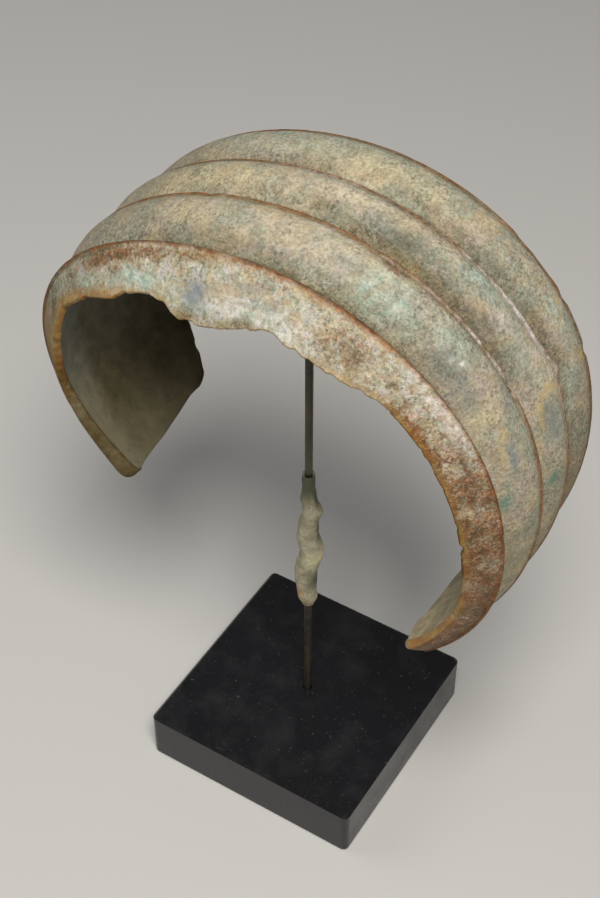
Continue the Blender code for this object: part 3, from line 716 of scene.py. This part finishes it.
def smooth_mesh(name, verts, faces):
    """A smooth-shaded mesh from its points and faces."""
    mesh = bpy.data.meshes.new(name)
    mesh.from_pydata([tuple(v) for v in verts], [], [tuple(int(i) for i in face) for face in faces])
    mesh.polygons.foreach_set("use_smooth", [True] * len(mesh.polygons))
    mesh.update()
    return mesh


def casting_mesh(name, points):
    """A closed mesh from the grid, with its two ends capped."""
    rows, columns = points.shape[:2]
    verts = points.reshape(-1, 3)
    index = np.arange(rows * columns).reshape(rows, columns)
    after = np.roll(index, -1, 1)
    faces = list(np.stack([index[:-1], index[1:], after[1:], after[:-1]], -1).reshape(-1, 4))
    outer_count = BAND_COLUMNS + 3 * (RECESS_COLUMNS + SHOULDER_COLUMNS) + FAR_BAND_COLUMNS + 1
    for row, flip in ((0, False), (rows - 1, True)):
        faces += zip_cap(verts, index[row, :outer_count], index[row, outer_count:][::-1], flip)
    return smooth_mesh(name, verts, faces)


def add_masks(mesh, name, values):
    """Four masks as a colour layer of the mesh."""
    layer = mesh.attributes.new(name, "FLOAT_COLOR", "POINT")
    layer.data.foreach_set("color", values.astype(np.float32).ravel())


def new_piece(name, mesh, material):
    """An object of the mesh with its material, put in the scene."""
    mesh.materials.append(material)
    piece = bpy.data.objects.new(name, mesh)
    bpy.context.collection.objects.link(piece)
    return piece


class Graph:
    """A material's node graph, with short calls for the nodes that it uses.

    Its sources are named masks and noises. A factor is a source's name, a number, a node's output, or a
    name with the range of its values and what that range spans.
    """

    def __init__(self, name, masks, noises):
        self.material = bpy.data.materials.new(name)
        self.material.use_nodes = True
        self.tree = self.material.node_tree
        self.shader = self.tree.nodes["Principled BSDF"]
        self.place = self.add("TexCoord").outputs["Object"]
        self.sources = {}
        for layer, names in masks:
            self.sources.update(zip(names, self.masks(layer)))
        for source, *values in noises:
            self.sources[source] = self.noise(*values)

    def add(self, kind):
        """A new node."""
        return self.tree.nodes.new("ShaderNode" + kind)

    def fill(self, node, sockets):
        """Links a node's sockets to other nodes' outputs, or gives them constants."""
        for name, value in sockets.items():
            if isinstance(value, bpy.types.NodeSocket):
                self.tree.links.new(value, node.inputs[name])
            else:
                node.inputs[name].default_value = value
        return node

    def node(self, kind, sockets, output=0):
        """An output of a new node whose sockets are filled."""
        return self.fill(self.add(kind), sockets).outputs[output]

    def moved(self, place, x, y, z):
        """A place shifted by constants."""
        return self.node("Mapping", {"Vector": place, "Location": (x, y, z)})

    def noise(self, size, detail=3.0, rough=0.55, shift=0, warp=0):
        """Noise from 0 to 1 with lumps of about size metres."""
        return self.node("TexNoise", {"Vector": self.moved(self.place, shift, shift * 0.7, shift * 1.3),
                                      "Scale": 1 / size, "Detail": detail, "Roughness": rough,
                                      "Distortion": warp})

    def granules(self, size, shift=0):
        """Three random numbers, the same over each ragged grain of about size metres."""
        wander = self.node("TexNoise", {"Vector": self.place, "Scale": 1 / size, "Detail": 3.0}, "Color")
        push = self.add("VectorMath")
        push.operation = "MULTIPLY_ADD"
        self.fill(push, {0: wander, 1: [0.9 * size] * 3, 2: self.place})
        place = self.moved(push.outputs[0], shift, shift, shift)
        cells = self.node("TexVoronoi", {"Vector": place, "Scale": 1 / size}, "Color")
        return tuple(self.fill(self.add("SeparateColor"), {0: cells}).outputs)

    def span(self, value, low, high, to_low=0, to_high=1):
        """Stretches a value's range low to high over to_low to to_high, and holds it there."""
        sockets = {"Value": value, "From Min": low, "From Max": high, "To Min": to_low, "To Max": to_high}
        return self.node("MapRange", sockets)

    def math(self, kind, a, b):
        """One step of arithmetic on two values."""
        node = self.add("Math")
        node.operation = kind
        return self.fill(node, {0: a, 1: b}).outputs[0]

    def share(self, *factors):
        """The product of one or more factors."""
        product = None
        for factor in factors:
            if isinstance(factor, tuple):
                factor = self.span(self.sources[factor[0]], *factor[1:])
            elif isinstance(factor, str):
                factor = self.sources[factor]
            product = factor if product is None else self.math("MULTIPLY", product, factor)
        return product

    def coats(self, colour, rows, blend="MIX"):
        """Tints laid over a colour: each row has a tint and the factors of its share."""
        for tint, *factors in rows:
            colour = self.mix(self.share(*factors), colour, tint, blend)
        return colour

    def mix(self, factor, a, b, blend="MIX"):
        """Colour a turned towards colour b by factor."""
        node = self.add("Mix")
        node.data_type = "RGBA"
        node.blend_type = blend
        return self.fill(node, {0: factor, 6: rgba(a), 7: rgba(b)}).outputs[2]

    def masks(self, name):
        """The four channels of a mask layer."""
        layer = self.add("Attribute")
        layer.attribute_name = name
        parts = self.fill(self.add("SeparateColor"), {0: layer.outputs["Color"]})
        return *parts.outputs, layer.outputs["Alpha"]

    def bump(self, height, distance, strength):
        """Fine relief by shading, to a depth of distance metres."""
        normal = self.node("Bump", {"Strength": strength, "Distance": distance, "Height": height})
        self.fill(self.shader, {"Normal": normal})


def rgba(colour):
    """A colour of three numbers gets its fourth; anything else is left alone."""
    return (*colour, 1) if isinstance(colour, tuple) and len(colour) == 3 else colour


# Colours of the patina
CREAM = (0.585, 0.49, 0.295)
BEIGE = (0.47, 0.39, 0.25)
GREY_BEIGE = (0.46, 0.39, 0.325)
GREY_GREEN = (0.295, 0.33, 0.26)
GRAIN_PALE = (0.64, 0.63, 0.5)
GRAIN_GREY = (0.17, 0.195, 0.17)
GRAIN_PINK = (0.52, 0.31, 0.2)
SPECK_BROWN = (0.16, 0.135, 0.085)
SHADOW_TINT = (0.56, 0.57, 0.5)
OLIVE_DARK = (0.06, 0.058, 0.032)
OLIVE_BROWN = (0.18, 0.14, 0.06)
KHAKI = (0.31, 0.255, 0.145)
COPPER = (0.4, 0.15, 0.046)
COPPER_DEEP = (0.175, 0.078, 0.03)
ORANGE = (0.42, 0.185, 0.05)
RED_BROWN = (0.29, 0.102, 0.044)
MOSS = (0.17, 0.15, 0.06)
OCHRE = (0.38, 0.195, 0.05)
YELLOW = (0.5, 0.38, 0.14)
VERDIGRIS = (0.33, 0.5, 0.44)
PALE_GREEN = (0.52, 0.65, 0.56)
TEAL = (0.09, 0.21, 0.165)
BLUE_GREY = (0.18, 0.215, 0.235)
HIGHLIGHT_PINK_WHITE = (0.82, 0.77, 0.76)
RUST_FILM = (0.7, 0.57, 0.38)
# A dark film for dirt and painted shade.
GRIME_AND_SHADE_FILM = (0.41, 0.385, 0.29)
# Colours of the hollow: the dark olive is partly painted shade, the pale is painted light.
INSIDE_OLIVE = (0.088, 0.072, 0.03)
INSIDE_PALE = (0.29, 0.255, 0.16)
INSIDE_GREY = (0.165, 0.175, 0.14)
INSIDE_CREAM = (0.44, 0.36, 0.215)
HOOK_YELLOW = (0.6, 0.44, 0.18)
LILAC = (0.5, 0.47, 0.485)
PEACH = (0.66, 0.5, 0.32)

# Colours of the lump, the stem, the foot and the floor
PUTTY_DARK = (0.27, 0.24, 0.155)
PUTTY_PALE = (0.46, 0.42, 0.295)
PUTTY_GREEN = (0.36, 0.4, 0.31)
PUTTY_CREAM = (0.6, 0.57, 0.34)
PUTTY_SPECK = (0.16, 0.15, 0.1)
PUTTY_SHADE = (0.062, 0.068, 0.036)
PUTTY_STAIN = (0.46, 0.27, 0.14)
STEM_BLACK = (0.035, 0.034, 0.028)
STEM_BROWN = (0.085, 0.075, 0.05)
STEM_SPECK = (0.12, 0.1, 0.07)
FOOT_BLACK = (0.008, 0.008, 0.01)
FOOT_GREY = (0.026, 0.027, 0.03)
FOOT_DUST = (0.1, 0.1, 0.09)
FLOOR_PALE = (0.6, 0.59, 0.57)

# The patina's mask layers with the names of their masks
PATINA_MASKS = (("patina_a", ("edge", "grime_and_shade", "ochre", "green")),
                ("patina_b", ("teal", "blue", "glint", "inside")),
                ("patina_c", ("front", "cream", "brown", "red")),
                ("patina_d", ("olive_end", "recess", "inner_light", "rust")))

# Noises that break the patina up: size in metres, detail, roughness, shift and warp
PATINA_NOISES = (("broad", 0.009, 3, 0.55, 0.3, 0.4), ("medium", 0.004, 4, 0.62, 0.9, 0.3),
                 ("patch", 0.0028, 3, 0.6, 5.1, 0.5), ("small", 0.0014, 4, 0.7, 1.7),
                 ("grain", 0.0007, 4, 0.72, 2.9), ("calm", 0.0075, 2, 0.5, 7.7, 0.4),
                 ("speck", 0.00055, 4, 0.75, 4.3), ("veil", 0.003, 4, 0.68, 11.3, 0.6))
GRANULES = (("pick", 0.00048, 0), ("wide", 0.00105, 0.37))

# Coats from the bottom up: a tint and the factors of its share
GROUND_COATS = (
    (GREY_BEIGE, ("medium", 0.4, 0.6)), (CREAM, "cream", ("medium", 0.3, 0.55, 0.45, 1)),
    (GREY_GREEN, ("broad", 0.46, 0.6, 0, 0.7), ("cream", 0.2, 1, 1, 0.45)), (KHAKI, "brown", 0.85),
    (GRAIN_PALE, ("pick_a", 0.72, 0.8, 0, 0.3), "calm"),
    (SPECK_BROWN, ("pick_b", 0.76, 0.82, 0, 0.5), "calm"), (GRAIN_PINK, ("wide_c", 0.84, 0.9, 0, 0.25)))
CRUST_COATS = (
    (GRAIN_PALE, ("patch", 0.42, 0.56)), (CREAM, ("medium", 0.44, 0.58)),
    (LILAC, ("veil", 0.53, 0.6, 0, 0.8)), (PEACH, ("veil", 0.45, 0.39, 0, 0.85)),
    (GRAIN_PALE, ("wide_a", 0.64, 0.76, 0, 0.5)), (GRAIN_PINK, ("wide_b", 0.76, 0.84, 0, 0.45)),
    (GRAIN_GREY, ("pick_c", 0.72, 0.82, 0, 0.6), ("calm", 0, 1, 0.3, 1)))
RUST_COATS = (
    (MOSS, ("patch", 0.46, 0.62, 0, 0.6)), (ORANGE, ("wide_b", 0.56, 0.74, 0, 0.6)),
    (PALE_GREEN, ("speck", 0.5, 0.6), ("veil", 0.42, 0.56, 0.12, 0.62)),
    (COPPER_DEEP, ("pick_b", 0.74, 0.88, 0, 0.55)))
HOLLOW_COATS = (
    (INSIDE_PALE, "inner_light", ("medium", 0.32, 0.6, 0.6, 1)), (INSIDE_CREAM, "cream"),
    (INSIDE_GREY, "blue", 0.8), (OLIVE_DARK, ("small", 0.46, 0.66, 0, 0.2)))
# Films multiplied over the colour: a rust film, and a dark film of dirt and painted shade.
FILMS = (
    (RUST_FILM, "rust", ("medium", 0.35, 0.65, 1, 0.75)),
    (GRIME_AND_SHADE_FILM, "grime_and_shade", ("small", 0.35, 0.65, 0.85, 1)))
# Dark specks of dirt, and the painted shadow line in the recesses behind the ribs.
DIRT_AND_SHADE_COATS = (
    (OLIVE_DARK, ("speck", 0.54, 0.61), ("grime_and_shade", 0.1, 0.8, 0, 0.9), ("inside", 0, 1, 1, 0)),
    (OLIVE_DARK, "recess", 0.85))
PUTTY_COATS = (
    (PUTTY_PALE, ("medium", 0.38, 0.62)), (PUTTY_GREEN, ("medium", 0.56, 0.66, 0, 0.6)),
    (PUTTY_CREAM, "cream", 0.8), (PUTTY_SPECK, ("small", 0.52, 0.7, 0, 0.5)),
    (PUTTY_SHADE, "shade", 0.97), (PUTTY_STAIN, "stain", 0.7))


def patina_red(g, colour):
    """Rust-red specks and patches laid over a colour."""
    rusty = g.coats(RED_BROWN, RUST_COATS)
    speckled = g.math("ADD", g.share("pick_c", 0.3), g.share("small", 0.9))
    reach = g.span(g.math("ADD", g.sources["red"], speckled), 0.83, 1.26, 0, 0.92)
    return g.coats(colour, ((rusty, reach, ("red", 0.04, 0.2)),))


def patina_grain(g, colour):
    """Light and dark grain, patches and pits laid over a colour."""
    shaded = g.share(("grain", 0.46, 0.64, 0, 0.8))
    colour = g.mix(shaded, colour, g.mix(1, colour, SHADOW_TINT, "MULTIPLY"))
    colour = g.coats(colour, ((GRAIN_PALE, ("grain", 0.48, 0.36, 0, 0.3)),))
    colour = g.mix(1, colour, g.share(("patch", 0.36, 0.64, 1.12, 0.84)), "MULTIPLY")
    veiled = g.mix(1, colour, g.share(("veil", 0.4, 0.58, 0.8, 1.16)), "MULTIPLY")
    colour = g.coats(colour, ((veiled, "front"),))
    pitted = g.share(("small", 0.53, 0.63), ("medium", 0.42, 0.6, 0.1, 0.7), ("calm", 0, 1, 0.45, 1))
    return g.mix(pitted, colour, g.mix(0.65, colour, OLIVE_DARK))


def patina_gold(g):
    """Ochre, turning yellow in the small hooks on the flutes."""
    gold = g.coats(OCHRE, ((YELLOW, ("medium", 0.45, 0.66)),))
    return g.mix(g.math("MAXIMUM", g.sources["front"], g.sources["inner_light"]), HOOK_YELLOW, gold)


def patina_hollow(g):
    """The smooth hollow side, dark olive with painted shade, and paler parts where light is painted."""
    colour = g.coats(INSIDE_OLIVE, HOLLOW_COATS)
    return g.mix(1, colour, g.share(("medium", 0.35, 0.65, 1.25, 0.75)), "MULTIPLY")


def patina_surface(g, colour):
    """Joins the colour to the shader, with its gloss, metal and fine relief."""
    metal = g.math("MAXIMUM", g.share("red", 0.6), g.sources["edge"])
    rough = g.math("SUBTRACT", g.share(("medium", 0.3, 0.7, 0.46, 0.62)), g.share(metal, 0.12))
    rough = g.math("SUBTRACT", rough, g.share("glint", 0.2))
    g.fill(g.shader, {"Base Color": colour, "Roughness": g.math("ADD", rough, g.share("grime_and_shade", 0.22)),
                      "Metallic": g.share(metal, 0.25),
                      "Specular IOR Level": g.share(("rust", 0, 1, 0.38, 0.14))})
    height = g.math("ADD", g.share("small", 0.7), g.share("grain", 0.5))
    g.bump(g.share(height, ("inside", 0, 1, 1, 0.3)), 0.0005, 0.9)


def patina_material():
    """Old copper alloy: beige and grey-green patina, dirt and painted shade behind the ribs, painted
    highlights, rubbed copper, ochre rims.
    """
    g = Graph("anklet_patina", PATINA_MASKS, PATINA_NOISES)
    g.sources["calm"] = g.share(("calm", 0.42, 0.58))
    for name, size, shift in GRANULES:
        g.sources.update(zip((name + "_a", name + "_b", name + "_c"), g.granules(size, shift)))
    colour = g.coats(BEIGE, GROUND_COATS)
    crust = g.coats(GREY_GREEN, CRUST_COATS)
    colour = g.coats(colour, ((crust, "front", 0.9),))
    green_share = g.share("green", ("patch", 0.38, 0.56, 1, 0.45))
    colour = g.mix(green_share, colour, g.coats(VERDIGRIS, ((PALE_GREEN, ("wide_a", 0.3, 0.7)),)))
    colour = g.coats(colour, ((OLIVE_BROWN, "olive_end", ("medium", 0.36, 0.58, 0.4, 0.95)),))
    colour = patina_grain(g, patina_red(g, colour))
    colour = g.coats(colour, ((TEAL, "teal", 0.8), (BLUE_GREY, "blue", ("small", 0.36, 0.58, 1, 0.75))))
    colour = g.coats(colour, ((patina_gold(g), "ochre", ("small", 0.42, 0.62, 1, 0.6)),))
    colour = g.coats(colour, ((patina_hollow(g), "inside"),))
    # Films of rust, dirt and painted shade, then dark specks and the painted shadow line behind the ribs.
    colour = g.coats(g.coats(colour, FILMS, "MULTIPLY"), DIRT_AND_SHADE_COATS)
    rubbed = g.coats(COPPER, ((COPPER_DEEP, ("small", 0.4, 0.58)),))
    # Rubbed copper on the ribs, then the painted highlights.
    colour = g.coats(colour, ((rubbed, "edge", ("grain", 0.4, 0.66, 1, 0.6)),
                              (HIGHLIGHT_PINK_WHITE, "glint", ("small", 0.4, 0.56, 0.95, 0.25))))
    patina_surface(g, colour)
    return g.material


def build_casting():
    """The casting with its relief, its masks and its patina."""
    place = Places(*casting_grid())
    relief = casting_relief(place)
    mesh = casting_mesh("anklet_casting", place.points + grid_normals(place.points) * relief[:, :, None])
    for (name, _), values in zip(PATINA_MASKS, casting_masks(place)):
        add_masks(mesh, name, values)
    piece = new_piece("anklet_casting", mesh, patina_material())
    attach(piece, "root")
    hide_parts("anklet")
    return piece


# The pale lump round the stem; its shares run from 0 at its foot to 1 at its top
LUMP_RINGS = 110
LUMP_SIDES = 72
LUMP_BORE = 0.0013
LUMP_BORE_INSET = 0.0002
LUMP_THINNEST = 0.0003
LUMP_BELT_SHARE = 0.45
LUMP_BELLY = 0.001
LUMP_KNOB = 0.0014
LUMP_KNOB_PLACE = (0.735, 0.045)
LUMP_ROUGH_SIZE = 0.0042
LUMP_ROUGHNESS = 0.0005
LUMP_WEAR = 0.00022

# Humps on the lump: height in metres, direction in radians from +X, then place and half width as shares
LUMP_HUMPS = ((LUMP_BELLY, 0.5, 0.44, 0.1), (LUMP_KNOB, 0.3, *LUMP_KNOB_PLACE),
              (LUMP_BELLY * 0.7, 3.5, 0.22, 0.13), (LUMP_BELLY * 0.5, 3.7, 0.53, 0.06))


def facing(direction, towards):
    """1 where a direction is the given one, 0 at a right angle to it and beyond."""
    return np.clip(np.cos(direction - towards), 0, 1)


def lump_points(share, direction, bottom, top):
    """The lump's rings of points, outside and then in its bore."""
    below = 0.0026 + 0.0008 * np.sin(math.pi / 2 * np.minimum(share / LUMP_BELT_SHARE, 1))
    above_share = np.clip((share - LUMP_BELT_SHARE) / (1 - LUMP_BELT_SHARE), 0, 1)
    mean = np.where(share < LUMP_BELT_SHARE, below, 0.0019 + 0.0015 * (1 - above_share) ** 1.3)
    ends = np.minimum(1, np.minimum(share / 0.06, (1 - share) / 0.035))
    mean = mean * (0.62 + 0.38 * np.sqrt(ends))
    for height, towards, centre, width in LUMP_HUMPS:
        mean = mean + height * np.cos(direction - towards) * hump(share, centre, width)
    z = bottom + (top - bottom) * share + 0 * direction
    flat = np.stack([mean * np.cos(direction), mean * np.sin(direction), z], -1).reshape(-1, 3)
    rough = layered_noise(flat, LUMP_ROUGH_SIZE, 211, 4, 0.6).reshape(mean.shape)
    radius = np.maximum(LUMP_BORE + LUMP_THINNEST, mean + (rough * LUMP_ROUGHNESS - LUMP_WEAR))
    outer = np.stack([radius * np.cos(direction), radius * np.sin(direction), z], -1)
    x = LUMP_BORE * np.cos(direction[0])
    y = LUMP_BORE * np.sin(direction[0])
    bore = [np.stack([x, y, np.full(LUMP_SIDES, height)], -1)
            for height in (top - LUMP_BORE_INSET, bottom + LUMP_BORE_INSET)]
    return np.concatenate([outer, np.stack(bore)], 0)


def lump_masks(share, direction, count):
    """Painted shade, stained and cream places on the lump."""
    dark = 0.98 * ramp(share, 0.76, 0.92)
    dark = dark + 0.85 * ramp(share, 0.47, 0.57) * ramp(np.cos(direction - 0.9), 0.1, 0.8)
    dark = dark * (1 - hump(share, *LUMP_KNOB_PLACE) * facing(direction, 0.4))
    dark = np.maximum(dark, hump(share, 0.22, 0.08) * facing(direction, 0.1))
    stain = hump(share, 0.12, 0.05) * facing(direction, 3.9) ** 2 + 0.6 * hump(share, 0, 0.06)
    masks = np.zeros((count, LUMP_SIDES, 4))
    masks[:LUMP_RINGS, :, 0] = np.clip(dark, 0, 1)
    masks[:LUMP_RINGS, :, 1] = np.clip(stain, 0, 1)
    masks[:LUMP_RINGS, :, 2] = hump(share, 0.41, 0.06) * facing(direction, -0.3)
    masks[:, :, 3] = 1
    return masks.reshape(-1, 4)


def lump_material():
    """Dry pale putty, darker at its top with painted shade, and a reddish stain at its foot."""
    g = Graph("pale_putty_look", (("lump_masks", ("shade", "stain", "cream", "solid")),),
              (("medium", 0.0028, 4, 0.6), ("small", 0.0008, 3, 0.6, 1.1)))
    colour = g.coats(PUTTY_DARK, PUTTY_COATS)
    g.fill(g.shader, {"Base Color": colour, "Roughness": g.share(("medium", 0.3, 0.7, 0.6, 0.9))})
    g.bump(g.math("ADD", g.sources["medium"], g.share("small", 0.5)), 0.0005, 0.9)
    return g.material


def build_lump():
    """The rough pale lump round the stem, in the place of its plainer solid."""
    low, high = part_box("stem_lump")
    share = np.linspace(0, 1, LUMP_RINGS)[:, None]
    direction = np.linspace(0, 2 * math.pi, LUMP_SIDES, endpoint=False)[None, :]
    rings = lump_points(share, direction, low[2], high[2])
    index = np.arange(rings.shape[0] * LUMP_SIDES).reshape(-1, LUMP_SIDES)
    across = np.roll(index, -1, 1)
    faces = np.stack([index, across, np.roll(across, -1, 0), np.roll(index, -1, 0)], -1).reshape(-1, 4)
    mesh = smooth_mesh("pale_lump", rings.reshape(-1, 3), faces)
    add_masks(mesh, "lump_masks", lump_masks(share, direction, len(rings)))
    piece = new_piece("pale_lump", mesh, lump_material())
    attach(piece, "root")
    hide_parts("stem_lump")
    return piece


def stem_material():
    """Blackened steel rod, brown in places."""
    g = Graph("stem_metal_look", (), (("small", 0.0012, 3, 0.6), ("long", 0.012, 3, 0.5, 0.4)))
    colour = g.coats(STEM_BLACK, ((STEM_BROWN, ("long", 0.35, 0.65)),
                                  (STEM_SPECK, ("small", 0.5, 0.7, 0, 0.6))))
    rough = g.share(("small", 0.3, 0.7, 0.35, 0.6))
    g.fill(g.shader, {"Base Color": colour, "Metallic": 0.7, "Roughness": rough})
    g.bump(g.sources["small"], 0.00012, 0.5)
    return g.material


def foot_material():
    """Black lacquer with a little dust and a faint orange-peel surface."""
    g = Graph("foot_black_look", (), (("dust", 0.01, 4, 0.6), ("speck", 0.0009, 2, 0.6, 0.8)))
    colour = g.coats(FOOT_BLACK, ((FOOT_GREY, ("dust", 0.45, 0.75, 0, 0.5)),
                                  (FOOT_DUST, ("speck", 0.66, 0.74, 0, 0.5))))
    g.fill(g.shader, {"Base Color": colour, "Roughness": g.share(("dust", 0.35, 0.7, 0.2, 0.38))})
    g.bump(g.noise(0.003, 2, 0.5, 0.2), 0.0001, 0.25)
    return g.material


def dress_stand():
    """Better finishes on the CAD's own stem and foot."""
    for node, look in (("stand_stem", stem_material()), ("stand_foot", foot_material())):
        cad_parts[node].material_slots[0].material = look


# Lights: name, azimuth and elevation in degrees, distance and size in metres, power in watts, colour
LIGHTS = (("key", 38, 60, 0.9, 0.4, 8.8, (1, 0.97, 0.92)),
          ("fill", -75, 35, 1, 0.8, 2.0, (0.96, 0.98, 1)))
ROOM_GREY = (0.82, 0.82, 0.82)


def build_floor():
    """A plain pale floor under the foot."""
    bpy.ops.mesh.primitive_plane_add(size=6.0, location=(0, 0, 0))
    floor = bpy.context.object
    floor.name = "floor"
    look = bpy.data.materials.new("floor_pale")
    look.use_nodes = True
    shader = look.node_tree.nodes["Principled BSDF"]
    shader.inputs["Base Color"].default_value = rgba(FLOOR_PALE)
    shader.inputs["Roughness"].default_value = 0.85
    floor.data.materials.append(look)


def outward(azimuth, elevation):
    """A direction in radians as a vector; azimuth 0 is the front, -Y, and grows towards +X."""
    return Vector((math.sin(azimuth) * math.cos(elevation), -math.cos(azimuth) * math.cos(elevation),
                   math.sin(elevation)))


def area_light(name, azimuth, elevation, distance, size, power, colour):
    """A soft light aimed at the casting from a direction round it, in degrees."""
    away = outward(math.radians(azimuth), math.radians(elevation))
    data = bpy.data.lights.new(name, "AREA")
    data.shape = "DISK"
    data.size = size
    data.energy = power
    data.color = colour
    light = bpy.data.objects.new(name, data)
    light.location = Vector((0, 0, CENTRE_Z)) + away * distance
    light.rotation_euler = away.to_track_quat("Z", "Y").to_euler()
    bpy.context.collection.objects.link(light)


def build_lights():
    """A soft key from high above the camera, a weak fill from the left and a dim pale room."""
    for light in LIGHTS:
        area_light(*light)
    world = bpy.context.scene.world or bpy.data.worlds.new("room")
    bpy.context.scene.world = world
    world.use_nodes = True
    background = world.node_tree.nodes["Background"]
    background.inputs["Color"].default_value = rgba(ROOM_GREY)
    background.inputs["Strength"].default_value = 0.14
    bpy.context.scene.view_settings.view_transform = "Standard"


def build_camera():
    """The photograph's viewing angle."""
    back = outward(CAMERA_AZIMUTH, CAMERA_ELEVATION)
    data = bpy.data.cameras.new("camera")
    data.sensor_fit = "HORIZONTAL"
    data.sensor_width = 36.0
    data.lens = PICTURE_FOCAL * data.sensor_width / PICTURE_WIDTH
    data.clip_start = 0.01
    camera = bpy.data.objects.new("camera", data)
    right = Vector((0, 0, 1)).cross(back).normalized()
    up = back.cross(right)
    turn = Matrix((right, up, back)).transposed().to_4x4()
    turn.translation = Vector(CAMERA_TARGET) + back * CAMERA_DISTANCE
    camera.matrix_world = turn
    bpy.context.collection.objects.link(camera)
    bpy.context.scene.camera = camera


build_casting()
build_lump()
dress_stand()
build_floor()
build_lights()
build_camera()
